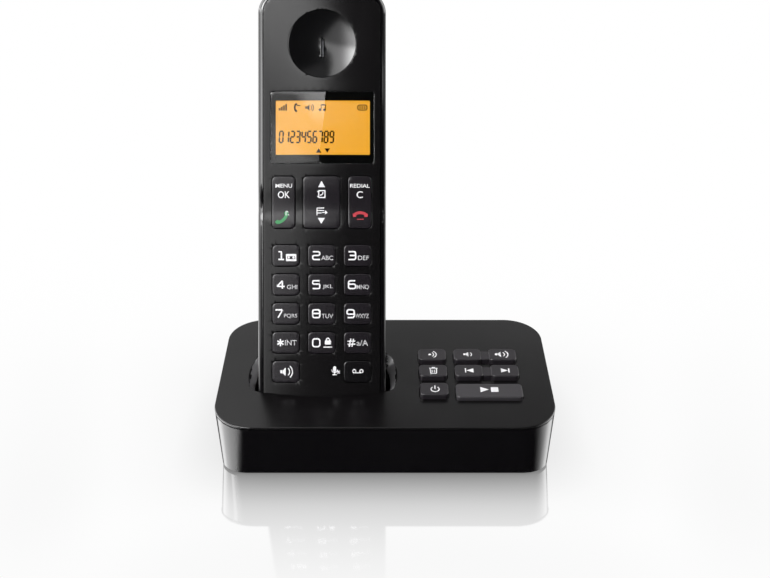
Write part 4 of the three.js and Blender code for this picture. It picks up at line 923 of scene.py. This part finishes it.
def smooth_copy(node, name, body, finish, bevel=0.0):
    """Copy of a CAD solid with its flat faces made whole, shaded smooth, with fine bevels."""
    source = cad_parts[node]
    mesh = source.data.copy()
    mesh.transform(source.matrix_world)
    mesh.materials.clear()
    piece = dress(mesh, name, body, finish, (node,), 38, 0.4)
    if not bevel:
        piece.modifiers.clear()
        return
    fine = piece.modifiers.new("fine_edge", "BEVEL")
    fine.width = bevel / 1000
    fine.segments = 2
    fine.limit_method = "ANGLE"
    fine.angle_limit = math.radians(50)
    piece.modifiers.move(1, 0)


# Printed marks

def bent(points, radius, closed=False, steps=5):
    """Path through points with its inner corners rounded; open ends stay as they are."""
    corners = [(*p, radius) for p in points]
    if not closed:
        corners[0], corners[-1] = tuple(points[0]), tuple(points[-1])
    return rounded(corners, steps)


# Digits on a unit square: (closed, points, corner radius as a share of the width)
DIGIT_STROKES = {
    "0": [(True, [(0, 0), (1, 0), (1, 1), (0, 1)], 0.3)],
    "1": [(False, [(0.22, 1), (0.62, 1), (0.62, 0)], 0.05), (False, [(0.2, 0), (1, 0)], 0)],
    "2": [(False, [(0.03, 1), (1, 1), (1, 0.52), (0, 0.52), (0, 0), (1.03, 0)], 0.24)],
    "3": [(False, [(0, 1), (1, 1), (1, 0), (0, 0)], 0.24), (False, [(0.2, 0.52), (1, 0.52)], 0)],
    "4": [(False, [(0.76, 0), (0.76, 1), (0, 0.28), (1.08, 0.28)], 0.04)],
    "5": [(False, [(1, 1), (0, 1), (0, 0.58), (1, 0.58), (1, 0), (0, 0)], 0.2)],
    "6": [(False, [(0.92, 1), (0, 1), (0, 0), (1, 0), (1, 0.56), (0.05, 0.56)], 0.26)],
    "7": [(False, [(0, 1), (1, 1), (0.38, 0)], 0.12)],
    "8": [(True, [(0, 0), (1, 0), (1, 1), (0, 1)], 0.26), (False, [(0, 0.53), (1, 0.53)], 0)],
    "9": [(False, [(0.08, 0), (1, 0), (1, 1), (0, 1), (0, 0.44), (0.95, 0.44)], 0.26)],
}
DIGIT_WIDTH, DIGIT_HEIGHT, DIGIT_STROKE = 2.6, 2.85, 0.52


class Print(Skin):
    """Marks printed on one surface: thin closed shapes that follow its height."""

    def __init__(self, place, height, at, thickness):
        super().__init__(place)
        self.height, self.at, self.thickness = height, at, thickness

    def level(self, outline, lift=INK_RISE):
        """Ring about the marks' place at a lift over the surface."""
        moved = np.asarray(outline, float) + self.at
        return self.ring(moved, self.height(moved) + lift)

    def rails(self, outer, inner):
        """Rings of a band's foot and top at one side, and of its top and foot at the other."""
        return [self.level(side, lift) for side, lift in (
            (outer, -self.thickness), (outer, INK_RISE), (inner, INK_RISE), (inner, -self.thickness))]

    def shape(self, outline):
        """Closed outline raised a little over the surface, its face following the surface."""
        outline = lengthened(np.asarray(outline, float), INK_STEP)
        low, high = self.level(outline, -self.thickness), self.level(outline)
        self.bands(low, high)
        self.lid(low)
        self.fill([high], INK_STEP, lambda points: self.height(points) + INK_RISE)

    def box(self, *values):
        """Rounded box: place, width, height, corner radius and steps."""
        self.shape(box_outline(*values))

    def dot(self, *values):
        """Disc: place, radius and sides."""
        self.shape(circle(*values))

    def frame(self, outer, inner):
        """Band between two outlines of as many points."""
        rings = self.rails(outer, inner)
        self.bands(*rings, rings[0])

    def window(self, x, y, outer, inner, steps=3):
        """Band between two rounded boxes about one place."""
        self.frame(box_outline(x, y, *outer, steps), box_outline(x, y, *inner, steps))

    def stroke(self, path, width, closed=False):
        """Line of even width: each path point moves half the width along its mitre, the mean
        of its two edge normals over the cosine of half their turn."""
        path = np.asarray(path, float)
        if not closed:
            steps = np.linalg.norm(np.diff(path, axis=0), axis=1)
            along = np.concatenate([[0], np.cumsum(steps)])
            even = np.linspace(0, along[-1], max(2, math.ceil(along[-1] / 0.6)))
            even = even[np.abs(even[:, None] - along).min(axis=1) > 0.1]
            places = np.sort(np.concatenate([along, even]))
            path = np.column_stack([np.interp(places, along, path[:, i]) for i in (0, 1)])
        ahead = np.roll(path, -1, axis=0) - path
        behind = path - np.roll(path, 1, axis=0)
        if not closed:
            ahead[-1], behind[0] = behind[-1], ahead[0]
        mitre = sum(np.column_stack([-v[:, 1], v[:, 0]]) / np.linalg.norm(v, axis=1)[:, None]
                    for v in (ahead, behind)) / 2
        mitre /= np.clip((mitre ** 2).sum(axis=1), 0.25, None)[:, None]
        left, right = path + mitre * width / 2, path - mitre * width / 2
        if closed:
            self.frame(left, right)
            return
        rails = self.rails(left, right)
        self.strips(*rails, rails[0])
        self.lid([rail[0] for rail in rails], [rail[-1] for rail in rails])

    def line(self, x, y, to_x, to_y, width):
        """Straight line from one point to another."""
        self.stroke([(x, y), (to_x, to_y)], width)

    def arc(self, x, y, across, up, start, end, count, width):
        """Arc of an ellipse about (x, y) between two angles."""
        angles = np.radians(np.linspace(start, end, count))
        self.stroke(np.column_stack([x + across * np.cos(angles), y + up * np.sin(angles)]), width)

    def waves(self, x, y, radii, width=0.3, spread=48):
        """Arcs of sound to the right of (x, y)."""
        for radius in radii:
            self.arc(x, y, radius, radius, -spread, spread, 13, width)

    def speaker(self, x, y, size, waves):
        """Loudspeaker sign about (x, y): magnet, cone and arcs."""
        cone = [(-0.5, -0.26), (-0.42, -0.26), (0.02, -0.72), (0.02, 0.72), (-0.42, 0.26), (-0.5, 0.26)]
        self.box(x - 0.72 * size, y, 0.34 * size, 0.52 * size, 0.05, 2)
        self.shape([(x + u * size, y + v * size) for u, v in cone])
        self.waves(x - 0.1 * size, y, [radius * size for radius in waves], 0.17 * size)

    def phone(self, x, y, size, turn):
        """Receiver: an arc with a swollen pad at each end, turned about (x, y)."""
        angle = math.radians(turn)
        spin = np.array([[math.cos(angle), math.sin(angle)], [-math.sin(angle), math.cos(angle)]])
        arc = np.radians(np.linspace(38, 142, 17))
        path = np.column_stack([np.cos(arc), 0.62 * np.sin(arc) - 0.42]) * size
        self.stroke(path @ spin + (x, y), 0.42 * size)
        for side in (-1, 1):
            pad = box_outline(side * 0.84 * size, -0.16 * size, 0.5 * size, 0.5 * size, 0.12 * size, 3)
            self.shape(pad @ spin + (x, y))

    def digit(self, digit, x, y):
        """Digit with the middle of its lower left stroke at (x, y)."""
        for closed, points, radius in DIGIT_STROKES[digit]:
            scaled = [(x + DIGIT_WIDTH * u, y + DIGIT_HEIGHT * v) for u, v in points]
            self.stroke(bent(scaled, radius * DIGIT_WIDTH, closed), DIGIT_STROKE, closed)

    def text(self, words, x, y, height, width):
        """Letters with their left end at x and their feet at y, drawn to a height and width."""
        curve = bpy.data.curves.new(words, "FONT")
        curve.body = words
        curve.extrude = 0.5
        curve.offset = 0.01
        letters = bpy.data.objects.new(words, curve)
        mesh = bpy.data.meshes.new_from_object(letters)
        points = np.array([vertex.co for vertex in mesh.vertices])
        low, high = points.min(axis=0), points.max(axis=0)
        plane = (points[:, :2] - low[:2]) / (high - low)[:2] * (width, height) + (x, y)
        start = len(self.points)
        self.level(plane, np.where(points[:, 2] > 0, INK_RISE, -self.thickness))
        self.faces += [[start + i for i in face.vertices] for face in mesh.polygons]
        bpy.data.objects.remove(letters)
        bpy.data.meshes.remove(mesh)
        bpy.data.curves.remove(curve)


def flat(level):
    """Height function of a flat surface."""
    return lambda points: np.full(len(points), float(level))


KEY_TOPS, PANEL_TOP = (on_handset, face(KEY_RISE)), (on_handset, face())
PAD_TOPS, PLAY_TOP = (on_deck, flat(BASE_KEY_RISE)), (on_deck, flat(PLAY_KEY_RISE))
KEY_MIDDLES = [(x, y) for y in KEY_ROWS for x in KEY_COLUMNS]
KEY_LETTERS = {"2": ("ABC", 4.3), "3": ("DEF", 4.0), "4": ("GHI", 3.8), "5": ("JKL", 3.8),
               "6": ("MNO", 4.5), "7": ("PQRS", 4.9), "8": ("TUV", 4.2), "9": ("WXYZ", 5.0)}


def ink(name, body, at, *marks, finish="legend_white", over=KEY_TOPS, depth=INK_DEPTH):
    """Printed piece about a place: each mark names its way of drawing, then what that takes."""
    sheet = Print(*over, at, depth)
    for way, *values in marks:
        getattr(sheet, way)(*values)
    sheet.finish(name, body, finish)


def make_number_prints():
    """Digits, letters and signs on the twelve number keys."""
    for digit, middle in zip("123456789", KEY_MIDDLES):
        left = -3.8 if digit in "79" else -3.25
        ink(f"digit_{digit}", f"key_{digit}", middle, ("digit", digit, left, -1.45))
        if digit in KEY_LETTERS:
            words, width = KEY_LETTERS[digit]
            ink(f"letters_{digit}", f"key_{digit}", middle, ("text", words, 4.2 - width, -1.65, 1.6, width),
                finish="legend_dim")
    one, *_, star, zero, hash_key = KEY_MIDDLES[:12]
    ink("tape_sign", "key_1", one, ("window", 1.95, -0.75, (3.8, 2.6, 0.25), (2.9, 1.05, 0.25)),
        ("dot", 1.1, -0.7, 0.42, 16), ("dot", 2.8, -0.7, 0.42, 16))
    arms = [(1.3 * math.cos(turn), 1.3 * math.sin(turn)) for turn in np.radians((30, 90, 150))]
    ink("star_sign", "key_star", star, *(("line", -2 - u, -v, u - 2, v, 0.5) for u, v in arms))
    ink("letters_star", "key_star", star, ("text", "INT", -0.35, -0.95, 1.9, 4.3), finish="legend_dim")
    ink("digit_0", "key_0", zero, ("digit", "0", -3.25, -1.45))
    ink("lock_sign", "key_0", zero, ("box", 2.3, 0.1, 2.2, 1.5, 0.2, 3),
        ("arc", 2.3, 0.8, 0.65, 0.85, 0, 180, 13, 0.35), ("line", 0.7, -1.6, 3.9, -1.6, 0.35))
    ink("hash_sign", "key_hash", hash_key,
        ("line", -3.0, -1.45, -2.4, 1.45, 0.42), ("line", -3.6, -0.55, -0.8, -0.55, 0.42),
        ("line", -2.0, -1.45, -1.4, 1.45, 0.42), ("line", -3.6, 0.55, -0.8, 0.55, 0.42))
    ink("letters_hash", "key_hash", hash_key, ("text", "a/A", -0.3, -1.1, 2.1, 4.2), finish="legend_dim")


def make_lower_prints():
    """Signs on the loudspeaker key and the message key, and the microphone sign beside it."""
    loud, (_, y), message = KEY_MIDDLES[12:]
    ink("loudspeaker_sign", "speaker_key", loud, ("speaker", -0.1, 0, 2.15, (0.8, 1.28)))
    ink("message_sign", "message_key", message,
        *(("stroke", circle(x, 0.2, 0.58, 20), 0.32, True) for x in (-1.15, 1.45)),
        ("line", -1.15, -0.4, 1.45, -0.4, 0.32))
    ink("mute_sign", "handset", (4.75, y + 0.4), ("box", 0, 0.55, 1.15, 2.0, 0.55, 5),
        ("arc", 0, 0.35, 1.05, 1.05, 180, 360, 15, 0.3), ("line", 0, -0.7, 0, -1.5, 0.35),
        ("line", -0.8, -1.5, 0.8, -1.5, 0.32), ("line", 1.0, -0.05, 1.9, -1.05, 0.3),
        ("line", 1.0, -1.05, 1.9, -0.05, 0.3), over=PANEL_TOP)


def make_rocker_prints():
    """Words and signs on the three tall keys; heights are along the handset."""
    left, right = (ROCKERS[0][1], 0), (ROCKERS[2][1], 0)
    ink("menu_words", "menu_call_key", left, ("text", "MENU", -2.95, 85.55, 1.4, 6.1),
        ("text", "OK", -2.1, 81.75, 2.5, 4.4), ("text", "R", 0.75, 75.45, 1.6, 1.35))
    ink("call_sign", "menu_call_key", left, ("phone", -0.35, 74.3, 2.7, 225), finish="legend_green")
    ink("list_signs", "nav_key", (0, 0), ("shape", [(-1.25, 85.7), (1.25, 85.7), (0, 88.0)]),
        ("shape", [(-1.4, 74.5), (-0.1, 72.3), (1.2, 74.5)]),
        ("frame", box_outline(0.1, 83.2, 2.7, 2.9, 0.3, 3), box_outline(0.1, 83.2, 1.9, 2.1, 0.2, 3)),
        ("line", -1.6, 84.1, -1.1, 84.1, 0.35), ("line", -1.6, 82.3, -1.1, 82.3, 0.35),
        ("phone", 0.1, 83.2, 0.75, 225), ("line", -1.7, 78.1, 0.9, 78.1, 0.32),
        ("line", -1.7, 77.2, 0.9, 77.2, 0.32), ("line", -1.7, 76.3, 0.0, 76.3, 0.32),
        ("line", -1.7, 78.1, -1.7, 75.4, 0.32), ("line", 0.2, 76.5, 1.7, 76.5, 0.32),
        ("shape", [(1.3, 75.75), (2.2, 76.5), (1.3, 77.25)]))
    ink("redial_words", "redial_end_key", right, ("text", "REDIAL", -3.55, 85.55, 1.4, 7.2),
        ("text", "C", -1.15, 81.75, 2.5, 2.3))
    ink("end_sign", "redial_end_key", right, ("phone", 0.2, 75.9, 2.5, 0), finish="legend_red")
    ink("end_line", "redial_end_key", right, ("line", -1.0, 74.0, 1.4, 74.0, 0.3), finish="legend_red")


def make_base_prints():
    """Signs on the keys of the base."""
    (left, centre, right), (back, middle, front) = BASE_COLUMNS, BASE_ROWS
    ink("page_sign", "page_key", (left - 0.9, back - 0.2), ("dot", 0, 0, 0.55, 16),
        ("waves", 0, 0, (1.5, 2.5), 0.42, 55), over=PAD_TOPS)
    ink("volume_signs", "volume_key", (0, back - 0.1), ("speaker", centre + 0.4, 0, 2.1, (0.72,)),
        ("speaker", right - 0.6, 0, 2.4, (0.72, 1.25)), over=PAD_TOPS)
    bucket = bent([(-1.0, 0.9), (-0.9, -2.1), (1.2, -2.1), (1.3, 0.9)], 0.3)
    ink("delete_sign", "delete_key", (left, middle), ("stroke", bucket, 0.42),
        ("line", -1.4, 1.25, 1.7, 1.25, 0.45), ("box", 0.15, 1.75, 1.2, 0.55, 0.05, 2),
        ("line", -0.35, 0.3, -0.35, -1.5, 0.3), ("line", 0.45, 0.3, 0.45, -1.5, 0.3), over=PAD_TOPS)
    arrows = [mark for x, side in ((centre + 0.2, -1), (right + 0.1, 1)) for mark in (
        ("shape", [(x - side * 1.5, -1.5), (x + side * 1.1, -0.15), (x - side * 1.5, 1.2)]),
        ("line", x + side * 1.45, -1.5, x + side * 1.45, 1.2, 0.45))]
    ink("skip_signs", "skip_key", (0, middle), *arrows, over=PAD_TOPS)
    ink("power_sign", "power_key", (left + 0.3, front - 0.4), ("arc", 0, 0, 1.5, 1.5, 125, 415, 25, 0.42),
        ("line", 0, 0.2, 0, 2.2, 0.42), over=PAD_TOPS)
    ink("play_sign", "play_key", (PLAY_X, PLAY_Y), ("shape", [(-3.2, -1.2), (-0.2, 0.4), (-3.2, 2.0)]),
        ("box", 2.0, 0.4, 2.7, 2.9, 0.05, 2), over=PLAY_TOP)


# Display

SEGMENTS = {"a": ((0, 2), (1, 2)), "b": ((1, 2), (1, 1)), "c": ((1, 1), (1, 0)), "d": ((0, 0), (1, 0)),
            "e": ((0, 1), (0, 0)), "f": ((0, 2), (0, 1)), "g": ((0, 1), (1, 1))}
SEGMENT_DIGITS = ("abcdef", "bc", "abged", "abgcd", "fgbc", "afgcd", "afgedc", "abc", "abcdefg", "abcdfg")
SEGMENT_SIZE, SEGMENT_GAP, SEGMENT_SLANT, SEGMENT_STROKE = (1.3, 2.05), 0.08, 0.06, 0.55


def make_display_marks():
    """Dark marks in the lit field: signal bars, telephone, loudspeaker, note and battery signs,
    a row of seven-segment digits and two arrows."""
    marks = [("box", -15.55 + 0.8 * i, 114.1 + height / 2, 0.55, height, 0.03, 1)
             for i, height in enumerate((0.9, 1.4, 1.9, 2.4))]
    marks += [("phone", -9.7, 115.2, 1.45, 90), ("line", -9.2, 116.0, -8.0, 116.0, 0.36),
              ("speaker", -4.6, 115.2, 1.7, (0.6, 1.0))]
    for x in (-0.7, 0.9):
        marks += [("dot", x, 114.4, 0.52, 12), ("line", x + 0.4, 114.4, x + 0.4, 116.3, 0.3)]
    marks += [("line", -0.3, 116.2, 1.3, 116.2, 0.5),
              ("window", 14.85, 115.2, (3.7, 2.2, 0.9), (3.0, 1.5, 0.6), 5)]
    marks += [("box", x, 115.2, 0.42, 1.0, 0.05, 2) for x in (14.0, 14.85, 15.7)]
    for place, digit in enumerate(SEGMENT_DIGITS):
        for segment in digit:
            ends = np.array(SEGMENTS[segment], float) * SEGMENT_SIZE
            run = SEGMENT_GAP * (ends[1] - ends[0])
            ends = np.array([ends[0] + run, ends[1] - run])
            ends[:, 0] += SEGMENT_SLANT * ends[:, 1]
            marks.append(("stroke", ends + (-15.7 + 2.06 * place, 102.35), SEGMENT_STROKE))
    marks += [("shape", [(-2.2, 98.6), (-0.2, 98.6), (-1.2, 100.2)]),
              ("shape", [(1.95, 98.6), (2.95, 100.2), (0.95, 100.2)])]
    ink("display_marks", "handset", (0, 0), *marks, finish="display_ink",
        over=(on_handset, flat(INK_RISE - GLASS_DEPTH)), depth=0.01)


# Finishes of the solids that stay

SOLID_FINISHES = {
    "display_glow": "display_module", "board_green": "handset_board base_board",
    "rubber_grey": "keypad_mat base_key_mat foot_front_left foot_front_right foot_back_left"
                   " foot_back_right",
    "steel": "earpiece_speaker ringer_speaker microphone handset_screw_left handset_screw_right"
             " base_speaker base_screw_left base_screw_right",
    "cell_sleeve": "cell_left cell_right", "back_black": "line_socket power_socket",
    "nickel": "battery_bridge battery_terminal_left battery_terminal_right charge_contact_left"
              " charge_contact_right charge_pin_left charge_pin_right",
}


def finish_solids():
    """Gives each solid that stays the material of its finish."""
    for finish, names in SOLID_FINISHES.items():
        for name in names.split():
            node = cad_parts[name]
            for slot in node.material_slots:
                slot.material = materials[finish]
            if not node.material_slots:
                node.data.materials.append(materials[finish])


make_front_cover()
make_face_panel()
make_earpiece()
make_lens()
make_lens_print()
for key in key_places():
    make_key(*key)
for name, y in zip(("page_key", "delete_key", "power_key"), BASE_ROWS):
    make_base_key(name, BASE_COLUMNS[0], y)
make_base_key("play_key", PLAY_X, PLAY_Y, PLAY_WIDTH, PLAY_DEPTH, PLAY_KEY_RISE, "play_key_grey")
make_double_key("volume_key", BASE_ROWS[0])
make_double_key("skip_key", BASE_ROWS[1])
make_top_cover()
smooth_copy("base_housing", "housing_band", "base", "gloss_black", 0.25)
smooth_copy("bottom_cover", "bottom_plate", "base", "back_black", 0.2)
smooth_copy("rear_cover", "rear_shell", "handset", "back_black")
smooth_copy("battery_door", "battery_lid", "battery_door", "back_black", 0.2)
finish_solids()
make_number_prints()
make_lower_prints()
make_rocker_prints()
make_base_prints()
make_display_marks()


# Studio

FLOOR_HALF = 4  # metres
BASE_MIDDLE, BASE_REACH = (0, 0.0125, 0), (0.056, 0.033, 0)  # where the mirrored image starts to fade
MIRROR_FADE, MIRROR_SHARE = 0.03, 0.68
CAMERA_PLACE, CAMERA_LENS = (0, -0.400, 0.2285), 53.95
LIGHT_TARGET = np.array([-0.0232, 0, 0.09])
LEFT_LEVELS = ((-0.062, 0.1), (-0.045, 1.7), (0.03, 1.9), (0.08, 4.8), (0.24, 4.8), (0.27, 11), (0.33, 11),
               (0.38, 5.5))
RIGHT_LEVELS = ((-0.1, 0.1), (-0.05, 0.4), (0.23, 0.4), (0.27, 4.5))
PANEL_FAR_SIDE = (-1.3, -2.3)  # metres to the left between which a panel's gain grows
EVEN_GREY = 0.45


def staged(name, corners):
    """Face between corners that stands in the studio; gives the object."""
    mesh = bpy.data.meshes.new(name)
    mesh.from_pydata(corners, [], [list(range(len(corners)))])
    item = bpy.data.objects.new(name, mesh)
    bpy.context.scene.collection.objects.link(item)
    item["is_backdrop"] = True
    return item


def make_floor():
    """Pale floor: white to the camera, with the object's mirrored image fading with the
    distance d from the base as exp(-d / 30 mm), and a soft contact shadow."""
    signs = ((-1, -1), (1, -1), (1, 1), (-1, 1))
    floor = staged("floor", [(FLOOR_HALF * u, FLOOR_HALF * v, 0) for u, v in signs])
    material, nodes = new_material("floor_white", emptied=True)
    floor.data.materials.append(material)
    centred = nodes.add("Mapping", Vector=nodes.place(), Location=BASE_MIDDLE).outputs[0]
    spread = nodes.math("ABSOLUTE", centred, kind="VectorMath")
    beyond = nodes.math("SUBTRACT", spread, BASE_REACH, kind="VectorMath")
    outside = nodes.math("MAXIMUM", beyond, (0, 0, 0), kind="VectorMath")
    distance = nodes.add("VectorMath", {"operation": "LENGTH"}, _0=outside).outputs["Value"]
    fade = nodes.product(nodes.math("EXPONENT", nodes.product(distance, -1 / MIRROR_FADE)), MIRROR_SHARE)
    path = nodes.add("LightPath").outputs
    shadow = nodes.add("AmbientOcclusion", {"samples": 8}, Distance=0.02).outputs["AO"]
    white = nodes.add("Emission", Strength=nodes.math("MULTIPLY_ADD", shadow, 0.35, 0.65)).outputs[0]
    grey = nodes.add("BsdfDiffuse", Color=(0.5, 0.5, 0.5, 1)).outputs[0]
    mirror, clear_mirror = [nodes.add("BsdfGlossy", Roughness=rough).outputs[0] for rough in (0.05, 0.02)]
    seen = nodes.add("MixShader", Fac=fade, _1=white, _2=mirror).outputs[0]
    bounce = nodes.add("MixShader", Fac=path["Is Glossy Ray"], _1=grey, _2=clear_mirror).outputs[0]
    straight = nodes.math("MAXIMUM", path["Is Camera Ray"], path["Is Transmission Ray"])
    shown = nodes.add("MixShader", Fac=straight, _1=bounce, _2=seen).outputs[0]
    nodes.add("OutputMaterial", Surface=shown)


def make_world():
    """White to the camera and straight through glass. Glossy rays see white low behind the
    object, a dark room in front and a brighter wall at each side, whose levels lie along the
    handset's axis; other rays see an even grey."""
    world = bpy.data.worlds.new("studio")
    bpy.context.scene.world = world
    world.use_nodes = True
    world.node_tree.nodes.clear()
    nodes = Nodes(world.node_tree)
    direction = nodes.add("TexCoord").outputs["Generated"]
    x, y, z = nodes.add("SeparateXYZ", Vector=direction).outputs
    product, total, ramp = nodes.product, nodes.total, nodes.ramp
    along = total(product(y, math.sin(HANDSET_LEAN)), product(z, math.cos(HANDSET_LEAN)))

    white = product(ramp(z, 0.3, 0.38), ramp(z, 0.56, 0.64, 1, 0),
                    ramp(nodes.math("ABSOLUTE", x), 0.22, 0.32, 1, 0))
    left_patch = product(ramp(x, -0.02, -0.12), ramp(z, 0.63, 0.72), 0.95)
    upper = total(product(ramp(z, 0.5, 0.62), 0.2), left_patch)
    behind = product(total(white, upper), ramp(y, -0.1, 0.3), ramp(z, 0.8, 0.9, 1, 0.3))
    far_end = product(ramp(y, 0.6, 0.82, 1, 0.05), ramp(z, 0.6, 0.85, 1, 0))
    low_dimming = product(ramp(y, -0.05, 0.25), ramp(along, 0.3, 0.36, 0.7, 0))
    left_wall = product(ramp(y, -0.8, -0.4), ramp(x, -0.35, -0.75), far_end,
                        nodes.math("SUBTRACT", 1, low_dimming), nodes.steps(along, LEFT_LEVELS))
    right_wall = product(ramp(y, -0.5, 0.4), ramp(x, 0.35, 0.75), far_end, nodes.steps(along, RIGHT_LEVELS))
    glossy = total(behind, total(left_wall, right_wall), 0.02)

    path = nodes.add("LightPath").outputs
    mirrored = nodes.math("GREATER_THAN", path["Glossy Depth"], 0.5)
    unmirrored = nodes.math("SUBTRACT", path["Is Transmission Ray"], mirrored)
    straight = nodes.math("MAXIMUM", path["Is Camera Ray"], nodes.math("GREATER_THAN", unmirrored, 0.5))
    shine = nodes.math("MAXIMUM", path["Is Glossy Ray"], product(path["Is Transmission Ray"], mirrored))
    other = nodes.add("Mix", Factor=shine, A=EVEN_GREY, B=glossy).outputs[0]
    level = nodes.add("Mix", Factor=straight, A=other, B=1.0).outputs[0]
    sky = nodes.add("Background", Color=(1, 1, 1, 1), Strength=level).outputs[0]
    nodes.add("OutputWorld", Surface=sky)


def direction_of(azimuth, elevation):
    """Direction from the telephone: azimuth from the front, negative to the left."""
    a, e = math.radians(azimuth), math.radians(elevation)
    return np.array([math.sin(a) * math.cos(e), -math.cos(a) * math.cos(e), math.sin(e)])


def make_softbox(name, corners, levels, gain=1.0, distance=4.0):
    """Lit panel seen from the telephone between corners (azimuth, elevation): an emitting
    face whose corners lie at the distance in those directions. The camera doesn't see it, and
    a second reflection, as in the floor, looks through it. Radiance is read at a point's
    height between levels (height, radiance), and grows towards the far left up to the gain;
    a panel with one level is even."""
    panel = staged(name, [(LIGHT_TARGET + distance * direction_of(*corner)).tolist() for corner in corners])
    material, nodes = new_material(name, emptied=True)
    panel.data.materials.append(material)
    strength = levels[0][1]
    if len(levels) > 1:
        axes = nodes.add("SeparateXYZ", Vector=nodes.place()).outputs
        side_gain = nodes.ramp(axes["X"], *PANEL_FAR_SIDE, 1, gain)
        strength = nodes.product(nodes.steps(axes["Z"], levels), side_gain)
    glow = nodes.add("Emission", Strength=strength).outputs[0]
    first = nodes.math("LESS_THAN", nodes.add("LightPath").outputs["Glossy Depth"], 1.5)
    clear = nodes.add("BsdfTransparent").outputs[0]
    seen = nodes.add("MixShader", Fac=first, _1=clear, _2=glow).outputs[0]
    nodes.add("OutputMaterial", Surface=seen)
    panel.visible_camera = False


def make_camera():
    """Camera of the photograph: level, pitched down to look squarely at the handset's face."""
    data = bpy.data.cameras.new("camera")
    data.lens = CAMERA_LENS
    data.sensor_width = 36
    data.sensor_fit = "HORIZONTAL"
    data.clip_start = 0.01
    camera = bpy.data.objects.new("camera", data)
    bpy.context.scene.collection.objects.link(camera)
    camera.location = CAMERA_PLACE
    camera.rotation_euler = (math.pi / 2 - HANDSET_LEAN, 0, 0)
    bpy.context.scene.camera = camera


make_floor()
make_world()
make_softbox("key_panel", [(-13, 19.3), (-4.6, 29.8), (-2.9, 33.1), (-2.6, 38.3), (-12, 42), (-17, 46),
                           (-22, 56), (-24, 68), (-50, 68), (-60, 45), (-60, 18), (-40, 22.9), (-20, 12)],
             [(2.05, 1.4), (2.11, 0.8), (2.2, 0.8), (2.27, 2.4), (2.36, 4.1)], 6.5)
make_softbox("overhead_panel", [(-8, 54), (70, 52), (70, 82), (-70, 82), (-70, 70), (-12, 70)], [(1, 0.4)])
make_softbox("ceiling_panel", [(-90, 80), (0, 82), (90, 80), (180, 72)], [(1, 1.6)])
make_softbox("right_panel", [(45, 27.3), (70, 18.9), (78, 15.7), (78, 17.9), (70, 21.2), (45, 29.6)],
             [(1, 1.8)])
make_camera()
bpy.context.scene.view_settings.view_transform = "Standard"

({name: [list(map(float, corner)) for corner in box]
           for name, box in (("cad", cad_box), ("visual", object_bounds()))})
